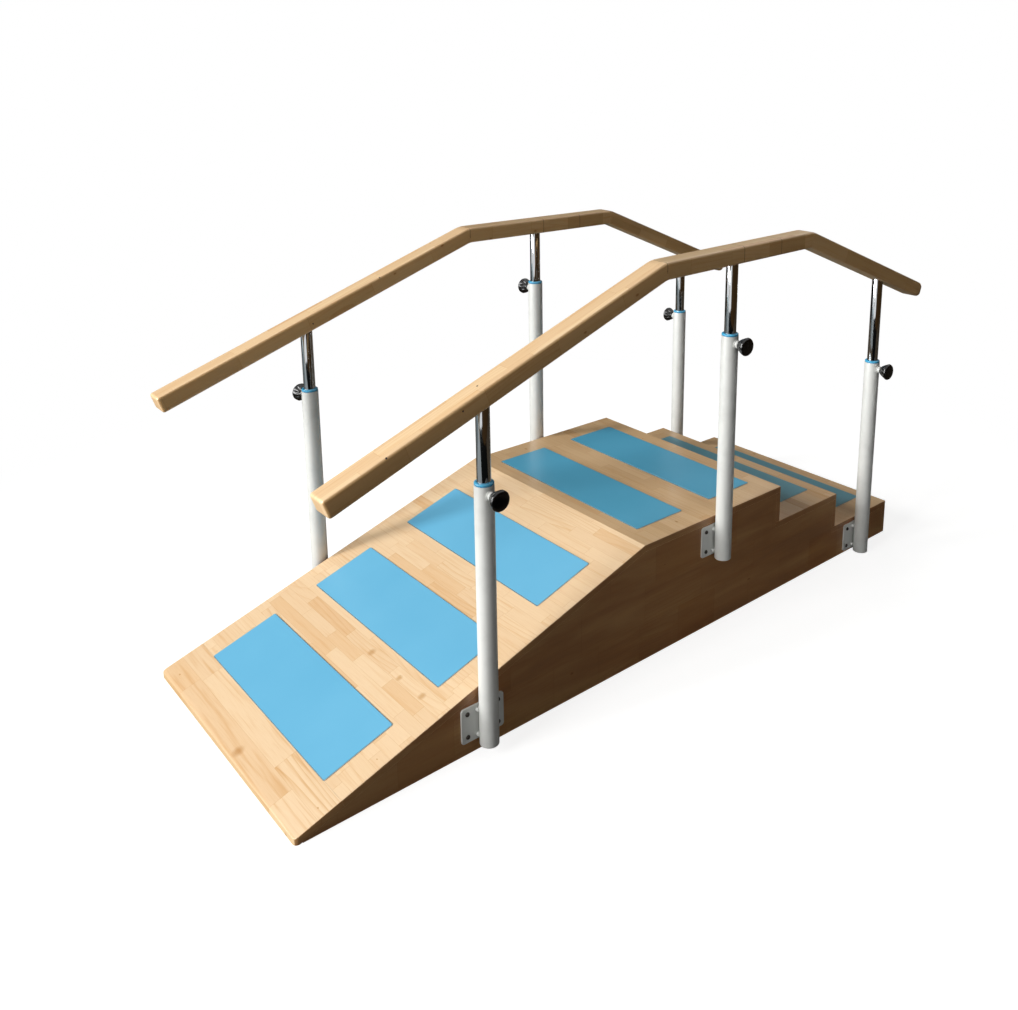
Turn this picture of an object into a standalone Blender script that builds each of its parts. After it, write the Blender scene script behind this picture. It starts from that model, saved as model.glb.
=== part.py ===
"""Rehabilitation stairs with a ramp and two height-adjustable handrails.

A wooden body climbs as a ramp to a level platform and goes down by two treads. Six telescoping
posts stand on its sides, three to a handrail, and each is clamped by a knob. Units are metres.
+X runs from the ramp's toe to the stairs, the near side is -Y, and Z is 0 on the floor.
"""

import math

import bmesh
import bpy
from mathutils import Matrix, Vector

# Wooden body
BODY_WIDTH = 0.840
RAMP_RUN = 1.085
PLATFORM_LENGTH = 0.616
TREAD_DEPTH = 0.315
RISER_HEIGHT = 0.121
TOE_HEIGHT = 0.017
TOE_BOARD_RUN = 0.118
DECK_THICKNESS = 0.020
RISER_THICKNESS = 0.020
SIDE_THICKNESS = 0.024
STRINGER_THICKNESS = 0.024
PANEL_TIP_HEIGHT = 0.002
EASED_EDGE = 0.003
FOOT_EDGE = 0.007

# Anti-slip pads
PAD_MARGIN = 0.0865
PAD_THICKNESS = 0.002
PAD_CORNER = 0.003
RAMP_PAD_LENGTH = 0.196
RAMP_PAD_PITCH = 0.3215
PLATFORM_PAD_LENGTH = 0.188
PLATFORM_PAD_SETBACK = 0.052
PLATFORM_PAD_PITCH = 0.312
TREAD_PAD_LENGTH = 0.188
TREAD_PAD_SETBACK = 0.051

# Posts: where they stand and how high their tubes start
RAMP_POST_ALONG = 0.511
PLATFORM_POST_FROM_CREASE = 0.300
STAIR_POST_FROM_UPPER_NOSE = 0.1155
RAMP_POST_BOTTOM = 0.030
PLATFORM_POST_BOTTOM = 0.235
STAIR_POST_BOTTOM = 0.003
TUBE_DIAMETER = 0.050
TUBE_WALL = 0.002
TUBE_LENGTH = 0.700

# Flange plate that carries a post, and its welds
PLATE_WIDTH = 0.130
PLATE_HEIGHT = 0.098
PLATE_THICKNESS = 0.005
PLATE_CORNER = 0.008
PLATE_ABOVE_TUBE_END = 0.006
PLATE_STANDOFF = 0.0015
HOLE_DIAMETER = 0.009
HOLE_SPACING_ALONG = 0.094
HOLE_SPACING_UP = 0.064
WELD_DIAMETER = 0.012
WELD_LENGTH = 0.046
WELD_FROM_PLATE_END = 0.014

# Collar bush at the top of each tube
COLLAR_INSET = 0.001
COLLAR_HEIGHT = 0.009
COLLAR_SKIRT = 0.040
COLLAR_ROUNDING = 0.002

# Inner tube and its guide bush
INNER_DIAMETER = 0.035
INNER_WALL = 0.0015
INNER_LENGTH = 0.522
SOCKET_DEPTH = 0.022
GUIDE_HEIGHT = 0.022
GUIDE_SPIGOT = 0.020
GUIDE_BORE = 0.022

# Clamp: welded boss, threaded stud and fluted knob
BOSS_DIAMETER = 0.022
BOSS_LENGTH = 0.010
BOSS_BELOW_TUBE_TOP = 0.022
STUD_DIAMETER = 0.008
STUD_IN_KNOB = 0.008
STUD_CHAMFER = 0.001
KNOB_STANDOFF = 0.0025
KNOB_DIAMETER = 0.054
KNOB_NECK_DIAMETER = 0.024
KNOB_HEIGHT = 0.033
KNOB_FLUTES = 8
KNOB_FLUTE_DEPTH = 0.0022

# Handrails: the height is the near one's at its platform post, and a lean lifts the stair end
HANDRAIL_HEIGHT = 0.834
FIRST_BEND = math.radians(19.3)
SECOND_BEND = math.radians(22.6)
NEAR_RAIL_LEAN = math.radians(0.9)
FAR_RAIL_LEAN = math.radians(-0.4)
FAR_RAIL_DROP = 0.032
RAIL_WIDTH = 0.062
RAIL_DEPTH = 0.049
RAIL_ROUNDING = 0.007
RAIL_END_ROUNDING = 0.005
NEAR_RAIL_START = 0.082
FAR_RAIL_START = 0.055
RAIL_OVER_PLATFORM = 0.022
RAIL_PAST_STAIRS = 0.040

# Clearance that touching pieces keep, and facets of the round pieces
GAP = 0.0003
ROUND_SIDES = 24
BOSS_SIDES = 16
STUD_SIDES = 12
SMALL_SIDES = 8
FLUTE_POINTS = 4
EDGE_FACETS = 2
RAIL_FACETS = 3
SMOOTH_BELOW = math.radians(35)

# Worked out from the sizes above
PLATFORM_HEIGHT = 3 * RISER_HEIGHT
UPPER_TREAD_HEIGHT = 2 * RISER_HEIGHT
LOWER_TREAD_HEIGHT = RISER_HEIGHT
PLATFORM_END = RAMP_RUN + PLATFORM_LENGTH
UPPER_TREAD_END = PLATFORM_END + TREAD_DEPTH
BODY_END = UPPER_TREAD_END + TREAD_DEPTH
RAMP_SLOPE = (PLATFORM_HEIGHT - TOE_HEIGHT) / RAMP_RUN
RAMP_ANGLE = math.atan(RAMP_SLOPE)
RAIL_END_ALONG = BODY_END + RAIL_PAST_STAIRS
RAIL_REACH = RAIL_END_ALONG - RAIL_END_ROUNDING * math.sin(SECOND_BEND - NEAR_RAIL_LEAN)
MIDDLE_ALONG = RAIL_REACH / 2
TUBE_RADIUS = TUBE_DIAMETER / 2
BORE_RADIUS = TUBE_RADIUS - TUBE_WALL
INNER_RADIUS = INNER_DIAMETER / 2
POST_SIDEWAYS = BODY_WIDTH / 2 + GAP + PLATE_THICKNESS + PLATE_STANDOFF + TUBE_RADIUS
COLLAR_RADIUS = TUBE_RADIUS - COLLAR_INSET
RAIL_TOP = PLATFORM_HEIGHT + HANDRAIL_HEIGHT
PLATFORM_POST_ALONG = RAMP_RUN + PLATFORM_POST_FROM_CREASE
SECOND_BEND_ALONG = PLATFORM_END + RAIL_OVER_PLATFORM
POSTS = (
    ("ramp", RAMP_POST_ALONG, RAMP_POST_BOTTOM),
    ("platform", PLATFORM_POST_ALONG, PLATFORM_POST_BOTTOM),
    ("stair", UPPER_TREAD_END + STAIR_POST_FROM_UPPER_NOSE, STAIR_POST_BOTTOM),
)
SIDES = (("near", -1), ("far", 1))
RAIL_SETTINGS = {
    "near": (NEAR_RAIL_LEAN, 0.0, NEAR_RAIL_START),
    "far": (FAR_RAIL_LEAN, FAR_RAIL_DROP, FAR_RAIL_START),
}


def clear_scene():
    for obj in list(bpy.data.objects):
        bpy.data.objects.remove(obj, do_unlink=True)


def finish_material(name, colour, roughness, metallic=0.0):
    """A Principled material with one colour, given as a linear RGB triple."""
    made = bpy.data.materials.new(name)
    made.use_nodes = True
    shader = made.node_tree.nodes["Principled BSDF"]
    shader.inputs["Base Color"].default_value = (*colour, 1.0)
    shader.inputs["Roughness"].default_value = roughness
    shader.inputs["Metallic"].default_value = metallic
    made.diffuse_color = (*colour, 1.0)
    return made


def along(distance):
    """World X of a place that lies this far from the ramp's toe."""
    return distance - MIDDLE_ALONG


def mesh_from(name, bm):
    """Closes a bmesh into a mesh whose flat faces stay flat and round ones look round."""
    bmesh.ops.recalc_face_normals(bm, faces=bm.faces)
    mesh = bpy.data.meshes.new(name)
    bm.to_mesh(mesh)
    bm.free()
    mesh.shade_smooth()
    mesh.set_sharp_from_angle(angle=SMOOTH_BELOW)
    return mesh


def add_object(name, mesh, material, location=(0, 0, 0), turn=(0, 0, 0), parent=None):
    obj = bpy.data.objects.new(name, mesh)
    if not mesh.materials:
        mesh.materials.append(material)
    obj.location = location
    obj.rotation_euler = turn
    obj.parent = parent
    bpy.context.scene.collection.objects.link(obj)
    return obj


def extruded(corners, width):
    """A bmesh of a profile in X and Z, extruded along Y and centred on it."""
    bm = bmesh.new()
    outline = [bm.verts.new((x, -width / 2, z)) for x, z in corners]
    face = bm.faces.new(outline)
    grown = bmesh.ops.extrude_face_region(bm, geom=[face])["geom"]
    moved = [item for item in grown if isinstance(item, bmesh.types.BMVert)]
    bmesh.ops.translate(bm, verts=moved, vec=(0, width, 0))
    return bm


def near(a, b):
    return abs(a - b) < 1e-6


def edge_at(edge, corner):
    """True for the edge along Y that starts at this corner of the profile."""
    return all(near(v.co.x, corner[0]) and near(v.co.z, corner[1]) for v in edge.verts)


def edge_between(edge, first, second):
    """True for an edge of either end face that joins these two corners of the profile."""
    found = {(round(v.co.x, 6), round(v.co.z, 6)) for v in edge.verts}
    wanted = {(round(x, 6), round(z, 6)) for x, z in (first, second)}
    return found == wanted


def rounded(bm, edges, radius, segments):
    bmesh.ops.bevel(
        bm,
        geom=edges,
        offset=radius,
        segments=segments,
        profile=0.5,
        affect="EDGES",
        clamp_overlap=True,
    )


def board(name, corners, width, material, eased=(), skin=(), middle=0.0, foot=()):
    """A board extruded across the body.

    eased lists the corners whose long edge is rounded, and skin the pairs of corners whose side
    edges are. foot lists corners that are rounded a little more, where the board meets the floor.
    """
    corners = [(along(u), z) for u, z in corners]
    bm = extruded(corners, width)
    picked = [e for e in bm.edges if any(edge_at(e, corners[i]) for i in eased)]
    for first, second in skin:
        picked += [e for e in bm.edges if edge_between(e, corners[first], corners[second])]
    if picked:
        rounded(bm, picked, EASED_EDGE, EDGE_FACETS)
    low = [e for e in bm.edges if any(edge_at(e, corners[i]) for i in foot)]
    if low:
        rounded(bm, low, FOOT_EDGE, EDGE_FACETS)
    return add_object(name, mesh_from(name, bm), material, location=(0, middle, 0))


def turned(profile, sides):
    """A bmesh of a closed profile of radius and height, spun about Z."""
    bm = bmesh.new()
    points = [bm.verts.new((radius, 0, height)) for radius, height in profile]
    ring = [bm.edges.new((points[i - 1], points[i])) for i in range(len(points))]
    bmesh.ops.spin(
        bm,
        geom=points + ring,
        axis=(0, 0, 1),
        cent=(0, 0, 0),
        angle=2 * math.pi,
        steps=sides,
        use_merge=True,
    )
    bmesh.ops.remove_doubles(bm, verts=bm.verts, dist=1e-7)
    return bm


def rod(radius, start, end, sides):
    """A solid cylinder between two points."""
    start, end = Vector(start), Vector(end)
    bm = bmesh.new()
    turn = Vector((0, 0, 1)).rotation_difference(end - start).to_matrix().to_4x4()
    bmesh.ops.create_cone(
        bm,
        cap_ends=True,
        segments=sides,
        radius1=radius,
        radius2=radius,
        depth=(end - start).length,
        matrix=Matrix.Translation((start + end) / 2) @ turn,
    )
    return bm


def helper(bm, name):
    """An object that joins or cuts another one and is never rendered."""
    obj = bpy.data.objects.new(name, mesh_from(name, bm))
    obj.hide_render = True
    obj.display_type = "WIRE"
    bpy.context.scene.collection.objects.link(obj)
    return obj


def shaped(bm, name, joined=(), cut=()):
    """The mesh of a bmesh after the joined shapes are added and the cut ones taken away."""
    target = helper(bm, name)
    used = [(helper(tool, name + "_join"), "UNION") for tool in joined]
    used += [(helper(tool, name + "_cut"), "DIFFERENCE") for tool in cut]
    for tool, operation in used:
        modifier = target.modifiers.new(tool.name, "BOOLEAN")
        modifier.operation = operation
        modifier.solver = "EXACT"
        modifier.object = tool
    graph = bpy.context.evaluated_depsgraph_get()
    result = bpy.data.meshes.new_from_object(target.evaluated_get(graph))
    result.name = name
    for obj in [target] + [tool for tool, _ in used]:
        bpy.data.objects.remove(obj, do_unlink=True)
    result.materials.clear()
    result.shade_smooth()
    result.set_sharp_from_angle(angle=SMOOTH_BELOW)
    return result


def ramp_height(u):
    return TOE_HEIGHT + RAMP_SLOPE * u


def under_ramp(u, depth):
    """A point this far below the ramp's surface, measured square to it."""
    return (u + depth * math.sin(RAMP_ANGLE), ramp_height(u) - depth * math.cos(RAMP_ANGLE))


def under_crease(depth):
    """Where a line this far below the surface turns from the ramp to the platform."""
    return (RAMP_RUN + depth * math.tan(RAMP_ANGLE / 2), PLATFORM_HEIGHT - depth)


def side_outline():
    """The profile of a side panel: it carries the decks from below and the risers from behind."""
    depth = DECK_THICKNESS + GAP
    back = RISER_THICKNESS + GAP
    drop = depth / math.cos(RAMP_ANGLE)
    tip = (PANEL_TIP_HEIGHT + drop - TOE_HEIGHT) / RAMP_SLOPE
    return [
        (tip, 0),
        (tip, PANEL_TIP_HEIGHT),
        under_crease(depth),
        (PLATFORM_END - back, PLATFORM_HEIGHT - depth),
        (PLATFORM_END - back, UPPER_TREAD_HEIGHT - depth),
        (UPPER_TREAD_END - back, UPPER_TREAD_HEIGHT - depth),
        (UPPER_TREAD_END - back, LOWER_TREAD_HEIGHT - depth),
        (BODY_END - back, LOWER_TREAD_HEIGHT - depth),
        (BODY_END - back, 0),
    ]


def add_panels(wood):
    outline = side_outline()
    for side, sign in SIDES:
        middle = sign * (BODY_WIDTH - SIDE_THICKNESS) / 2
        board(side + "_side_panel", outline, SIDE_THICKNESS, wood, middle=middle)
    board("centre_stringer", outline, STRINGER_THICKNESS, wood)


def add_ramp(wood):
    thick = DECK_THICKNESS
    seam = TOE_BOARD_RUN
    heel = (thick / math.cos(RAMP_ANGLE) - TOE_HEIGHT) / RAMP_SLOPE
    toe = [
        (0, 0),
        (0, TOE_HEIGHT),
        (seam, ramp_height(seam)),
        under_ramp(seam, thick),
        (heel, 0),
    ]
    board("ramp_toe_board", toe, BODY_WIDTH, wood, eased=(1,), skin=((0, 1), (1, 2)), foot=(0,))
    start = seam + GAP / math.cos(RAMP_ANGLE)
    end = RAMP_RUN - GAP
    end_below = under_crease(thick)[0] - GAP
    drop = thick / math.cos(RAMP_ANGLE)
    deck = [
        under_ramp(start, thick),
        (start, ramp_height(start)),
        (end, ramp_height(end)),
        (end_below, ramp_height(end_below) - drop),
    ]
    board("ramp_deck", deck, BODY_WIDTH, wood, skin=((1, 2),))


def add_level_boards(wood):
    """The platform deck, the two treads and the three risers below their front edges."""
    thick = DECK_THICKNESS
    platform = [
        under_crease(thick),
        (RAMP_RUN, PLATFORM_HEIGHT),
        (PLATFORM_END, PLATFORM_HEIGHT),
        (PLATFORM_END, PLATFORM_HEIGHT - thick),
    ]
    board("platform_deck", platform, BODY_WIDTH, wood, eased=(2,), skin=((1, 2), (2, 3)))
    levels = (
        ("platform", PLATFORM_END, PLATFORM_HEIGHT, UPPER_TREAD_HEIGHT + GAP),
        ("upper", UPPER_TREAD_END, UPPER_TREAD_HEIGHT, LOWER_TREAD_HEIGHT + GAP),
        ("lower", BODY_END, LOWER_TREAD_HEIGHT, 0.0),
    )
    for name, nose, top, bottom in levels:
        back = nose - RISER_THICKNESS
        under = top - thick - GAP
        riser = [(back, bottom), (back, under), (nose, under), (nose, bottom)]
        foot = (3,) if bottom == 0.0 else ()
        board(name + "_riser", riser, BODY_WIDTH, wood, skin=((2, 3),), foot=foot)
        if name == "platform":
            continue
        behind = nose - TREAD_DEPTH - RISER_THICKNESS
        tread = [(behind, top - thick), (behind, top), (nose, top), (nose, top - thick)]
        board(name + "_tread", tread, BODY_WIDTH, wood, eased=(2,), skin=((1, 2), (2, 3)))


def pad_mesh(name, length):
    """A flat pad lying on the plane Z 0, with its first edge at X 0."""
    half = BODY_WIDTH / 2 - PAD_MARGIN
    bm = bmesh.new()
    corners = ((0, -half), (length, -half), (length, half), (0, half))
    face = bm.faces.new([bm.verts.new((x, y, 0)) for x, y in corners])
    grown = bmesh.ops.extrude_face_region(bm, geom=[face])["geom"]
    moved = [item for item in grown if isinstance(item, bmesh.types.BMVert)]
    bmesh.ops.translate(bm, verts=moved, vec=(0, 0, PAD_THICKNESS))
    upright = [e for e in bm.edges if not near(e.verts[0].co.z, e.verts[1].co.z)]
    rounded(bm, upright, PAD_CORNER, EDGE_FACETS)
    return mesh_from(name, bm)


def add_pads(vinyl):
    on_ramp = pad_mesh("ramp_pad", RAMP_PAD_LENGTH)
    for index, name in enumerate(("ramp_pad_low", "ramp_pad_middle", "ramp_pad_high")):
        start = TOE_BOARD_RUN + index * RAMP_PAD_PITCH
        place = (
            along(start) - GAP * math.sin(RAMP_ANGLE),
            0,
            ramp_height(start) + GAP * math.cos(RAMP_ANGLE),
        )
        add_object(name, on_ramp, vinyl, place, (0, -RAMP_ANGLE, 0))
    on_platform = pad_mesh("platform_pad", PLATFORM_PAD_LENGTH)
    for index, name in enumerate(("platform_pad_front", "platform_pad_rear")):
        start = RAMP_RUN + PLATFORM_PAD_SETBACK + index * PLATFORM_PAD_PITCH
        add_object(name, on_platform, vinyl, (along(start), 0, PLATFORM_HEIGHT + GAP))
    on_tread = pad_mesh("tread_pad", TREAD_PAD_LENGTH)
    treads = (
        ("upper_tread_pad", UPPER_TREAD_END, UPPER_TREAD_HEIGHT),
        ("lower_tread_pad", BODY_END, LOWER_TREAD_HEIGHT),
    )
    for name, nose, top in treads:
        start = nose - TREAD_PAD_SETBACK - TREAD_PAD_LENGTH
        add_object(name, on_tread, vinyl, (along(start), 0, top + GAP))


def plate_shape():
    """The flange plate, in the post's frame: the body lies on its +Y side."""
    inner = TUBE_RADIUS + PLATE_STANDOFF
    low = PLATE_ABOVE_TUBE_END
    corners = [
        (-PLATE_WIDTH / 2, low),
        (PLATE_WIDTH / 2, low),
        (PLATE_WIDTH / 2, low + PLATE_HEIGHT),
        (-PLATE_WIDTH / 2, low + PLATE_HEIGHT),
    ]
    bm = extruded(corners, PLATE_THICKNESS)
    bmesh.ops.translate(bm, verts=bm.verts, vec=(0, inner + PLATE_THICKNESS / 2, 0))
    through = [e for e in bm.edges if not near(e.verts[0].co.y, e.verts[1].co.y)]
    rounded(bm, through, PLATE_CORNER, EDGE_FACETS)
    return bm


def post_mesh():
    """The welded post: tube, flange plate, two cross welds and the knob's threaded boss."""
    tube = rod(TUBE_RADIUS, (0, 0, 0), (0, 0, TUBE_LENGTH), ROUND_SIDES)
    plate_middle = PLATE_ABOVE_TUBE_END + PLATE_HEIGHT / 2
    weld_reach = PLATE_HEIGHT / 2 - WELD_FROM_PLATE_END
    weld_depth = TUBE_RADIUS + PLATE_STANDOFF + PLATE_THICKNESS / 2 - WELD_DIAMETER / 2
    joined = [plate_shape()]
    for sign in (-1, 1):
        height = plate_middle + sign * weld_reach
        ends = [(end * WELD_LENGTH / 2, weld_depth, height) for end in (-1, 1)]
        joined.append(rod(WELD_DIAMETER / 2, *ends, SMALL_SIDES))
    boss_height = TUBE_LENGTH - BOSS_BELOW_TUBE_TOP
    boss_face = -(TUBE_RADIUS + BOSS_LENGTH)
    boss = ((0, -BORE_RADIUS / 2, boss_height), (0, boss_face, boss_height))
    joined.append(rod(BOSS_DIAMETER / 2, *boss, BOSS_SIDES))
    spare = TUBE_DIAMETER
    cut = [rod(BORE_RADIUS, (0, 0, -spare), (0, 0, TUBE_LENGTH + spare), ROUND_SIDES)]
    hole = ((0, -BORE_RADIUS / 2, boss_height), (0, boss_face - spare, boss_height))
    cut.append(rod(STUD_DIAMETER / 2 + GAP, *hole, STUD_SIDES))
    for x in (-HOLE_SPACING_ALONG / 2, HOLE_SPACING_ALONG / 2):
        for up in (-HOLE_SPACING_UP / 2, HOLE_SPACING_UP / 2):
            z = plate_middle + up
            ends = ((x, TUBE_RADIUS / 2, z), (x, 2 * TUBE_DIAMETER, z))
            cut.append(rod(HOLE_DIAMETER / 2, *ends, SMALL_SIDES))
    return shaped(tube, "post", joined, cut)


def collar_mesh():
    """The plastic bush: a rounded lip on the tube's end and a skirt that lines its bore."""
    lip = COLLAR_RADIUS
    edge = COLLAR_ROUNDING
    inside = INNER_RADIUS + GAP
    skirt = BORE_RADIUS - GAP
    base = GAP
    top = base + COLLAR_HEIGHT
    profile = [
        (inside, -COLLAR_SKIRT),
        (skirt, -COLLAR_SKIRT),
        (skirt, base),
        (lip - edge / 2, base),
        (lip, base + edge),
        (lip, top - edge),
        (lip - edge, top),
        (inside, top),
    ]
    bm = turned(profile, ROUND_SIDES)
    hole = ((0, -inside / 2, -BOSS_BELOW_TUBE_TOP), (0, -TUBE_DIAMETER, -BOSS_BELOW_TUBE_TOP))
    return shaped(bm, "collar", cut=[rod(STUD_DIAMETER / 2 + GAP, *hole, STUD_SIDES)])


def inner_tube_mesh():
    """The chromed tube, hanging down from the top of its socket at Z 0."""
    inside = INNER_RADIUS - INNER_WALL
    profile = [
        (inside, -INNER_LENGTH),
        (INNER_RADIUS, -INNER_LENGTH),
        (INNER_RADIUS, 0),
        (inside, 0),
    ]
    return mesh_from("inner_tube", turned(profile, ROUND_SIDES))


def guide_mesh():
    """The bush plugged into the inner tube's lower end at Z 0, which slides in the outer tube."""
    outside = BORE_RADIUS - GAP
    spigot = INNER_RADIUS - INNER_WALL - GAP
    profile = [
        (GUIDE_BORE / 2, -GUIDE_HEIGHT),
        (outside, -GUIDE_HEIGHT),
        (outside, -GAP),
        (spigot, -GAP),
        (spigot, GUIDE_SPIGOT),
        (GUIDE_BORE / 2, GUIDE_SPIGOT),
    ]
    return mesh_from("guide", turned(profile, ROUND_SIDES))


def stud_reach():
    """How far the stud reaches from the post's axis: its tip, the knob's neck and its blind end."""
    tip = INNER_RADIUS + GAP
    neck = TUBE_RADIUS + BOSS_LENGTH + KNOB_STANDOFF
    return tip, neck, neck + STUD_IN_KNOB


def stud_mesh():
    """The threaded stud, along -Y from the post's axis, with a chamfer at each end."""
    tip, _, end = stud_reach()
    bm = rod(STUD_DIAMETER / 2, (0, -tip, 0), (0, -end, 0), STUD_SIDES)
    rims = [e for e in bm.edges if near(e.verts[0].co.y, e.verts[1].co.y)]
    rounded(bm, rims, STUD_CHAMFER, 1)
    return mesh_from("stud", bm)


def fluted_ring(bm, out, radius, depth):
    """A ring of edges at this distance along -Y, drawn in by depth at each flute."""
    points = []
    count = KNOB_FLUTES * FLUTE_POINTS
    for index in range(count):
        angle = 2 * math.pi * index / count
        pinch = (0.5 - 0.5 * math.cos(KNOB_FLUTES * angle)) ** 2
        reach = radius - depth * pinch
        points.append(bm.verts.new((reach * math.cos(angle), -out, reach * math.sin(angle))))
    return [bm.edges.new((points[i - 1], points[i])) for i in range(count)]


def knob_mesh():
    """The knob: a neck that flares in flutes to a broad rim, and a low domed face."""
    _, neck, stud_end = stud_reach()
    narrow, wide = KNOB_NECK_DIAMETER / 2, KNOB_DIAMETER / 2
    flute = KNOB_FLUTE_DEPTH
    rings = (
        (0.00, narrow, 0.0),
        (0.10, narrow, 0.0),
        (0.32, (narrow + wide) / 2, flute * 0.8),
        (0.52, wide, flute),
        (0.88, wide, flute),
        (0.96, wide * 0.90, flute * 0.5),
        (1.00, wide * 0.65, 0.0),
    )
    bm = bmesh.new()
    made = [fluted_ring(bm, neck + KNOB_HEIGHT * t, r, d) for t, r, d in rings]
    for first, second in zip(made, made[1:]):
        bmesh.ops.bridge_loops(bm, edges=first + second)
    bmesh.ops.holes_fill(bm, edges=made[0] + made[-1], sides=len(made[0]))
    socket = ((0, -neck / 2, 0), (0, -stud_end - GAP, 0))
    return shaped(bm, "knob", cut=[rod(STUD_DIAMETER / 2 + GAP, *socket, STUD_SIDES)])


def rail_line(side):
    """The top of a handrail at rest: its two ends and two bends, each as along and height."""
    lean, drop, start = RAIL_SETTINGS[side]
    middle = RAIL_TOP - drop
    first = middle - math.tan(lean) * (PLATFORM_POST_ALONG - RAMP_RUN)
    second = middle + math.tan(lean) * (SECOND_BEND_ALONG - PLATFORM_POST_ALONG)
    low = first - math.tan(FIRST_BEND + lean) * (RAMP_RUN - start)
    end = second - math.tan(SECOND_BEND - lean) * (RAIL_END_ALONG - SECOND_BEND_ALONG)
    return [(start, low), (RAMP_RUN, first), (SECOND_BEND_ALONG, second), (RAIL_END_ALONG, end)]


def rail_pitch(start, end):
    return math.atan2(end[1] - start[1], end[0] - start[0])


def rail_underside(u, start, end):
    """The height of a length's underside above a place between its start and end."""
    pitch = rail_pitch(start, end)
    return start[1] + (u - start[0]) * math.tan(pitch) - RAIL_DEPTH / math.cos(pitch)


def rail_shape(start, end, first_cut, last_cut):
    """One straight length of handrail from start to end, given as along and height of its top.

    Each cut is the angle from upright of the plane that ends the length, or None for an end
    that is cut square and rounded.
    """
    first, last = Vector((along(start[0]), 0, start[1])), Vector((along(end[0]), 0, end[1]))
    run = last - first
    pitch = rail_pitch(start, end)
    low, high = -RAIL_DEPTH, run.length + RAIL_DEPTH
    bm = extruded([(low, 0), (low, -RAIL_DEPTH), (high, -RAIL_DEPTH), (high, 0)], RAIL_WIDTH)
    long_edges = [e for e in bm.edges if abs(e.verts[0].co.x - e.verts[1].co.x) > run.length]
    rounded(bm, long_edges, RAIL_ROUNDING, RAIL_FACETS)
    turn = Matrix.Rotation(-pitch, 4, "Y")
    bmesh.ops.transform(bm, matrix=Matrix.Translation(first) @ turn, verts=bm.verts)
    for point, angle, outward in ((first, first_cut, -1), (last, last_cut, 1)):
        lean = pitch if angle is None else angle
        normal = outward * Vector((math.cos(lean), 0, math.sin(lean)))
        inset = 0.0 if angle is None else GAP / 2
        whole = bm.verts[:] + bm.edges[:] + bm.faces[:]
        made = bmesh.ops.bisect_plane(
            bm, geom=whole, plane_co=point - inset * normal, plane_no=normal, clear_outer=True
        )["geom_cut"]
        rim = [item for item in made if isinstance(item, bmesh.types.BMEdge)]
        bmesh.ops.holes_fill(bm, edges=rim, sides=len(rim))
        if angle is None:
            rim = [e for e in bm.edges if all(abs((v.co - point).dot(normal)) < 1e-6 for v in e.verts)]
            rounded(bm, rim, RAIL_END_ROUNDING, EDGE_FACETS)
    return bm


def socket_cut(u, underside):
    """The blind hole in the rail's underside that takes an inner tube."""
    x = along(u)
    low, top = underside - RAIL_DEPTH, underside + SOCKET_DEPTH
    return rod(INNER_RADIUS + GAP, (x, 0, low), (x, 0, top), ROUND_SIDES)


def rail_lengths(side):
    """The three straight lengths of a handrail, each with the height of its socket's mouth."""
    line = rail_line(side)
    pitches = [rail_pitch(start, end) for start, end in zip(line, line[1:])]
    mitres = [(before + after) / 2 for before, after in zip(pitches, pitches[1:])]
    cuts = zip([None, *mitres], [*mitres, None])
    lengths = {}
    for (name, post, _), start, end, (first, last) in zip(POSTS, line, line[1:], cuts):
        underside = rail_underside(post, start, end)
        bm = rail_shape(start, end, first, last)
        mesh = shaped(bm, f"{side}_{name}_rail", cut=[socket_cut(post, underside)])
        lengths[name] = (mesh, underside)
    return lengths


def add_handrails(wood, chrome, nylon):
    """Each handrail hangs on an empty that lifts it with its inner tubes and guides."""
    tube, guide = inner_tube_mesh(), guide_mesh()
    for side, sign in SIDES:
        lengths = rail_lengths(side)
        carrier = bpy.data.objects.new(side + "_handrail", None)
        carrier.location = (0, sign * POST_SIDEWAYS, 0)
        bpy.context.scene.collection.objects.link(carrier)
        for name, u, _ in POSTS:
            mesh, underside = lengths[name]
            add_object(f"{side}_{name}_rail", mesh, wood, parent=carrier)
            top = underside + SOCKET_DEPTH - GAP
            place = (along(u), 0, top)
            add_object(f"{side}_{name}_inner_tube", tube, chrome, place, parent=carrier)
            place = (along(u), 0, top - INNER_LENGTH)
            add_object(f"{side}_{name}_guide_bush", guide, nylon, place, parent=carrier)


def add_posts(paint, collar_plastic, steel, knob_plastic):
    """Each post faces the body with its plate and carries its clamp on the outer side."""
    post, collar, stud, knob = post_mesh(), collar_mesh(), stud_mesh(), knob_mesh()
    for side, sign in SIDES:
        turn = (0, 0, math.pi if sign > 0 else 0)
        for name, u, bottom in POSTS:
            x, y = along(u), sign * POST_SIDEWAYS
            top = bottom + TUBE_LENGTH
            clamp = (x, y, top - BOSS_BELOW_TUBE_TOP)
            add_object(f"{side}_{name}_post", post, paint, (x, y, bottom), turn)
            add_object(f"{side}_{name}_collar", collar, collar_plastic, (x, y, top), turn)
            add_object(f"{side}_{name}_clamp_stud", stud, steel, clamp, turn)
            add_object(f"{side}_{name}_knob", knob, knob_plastic, clamp, turn)


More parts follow.
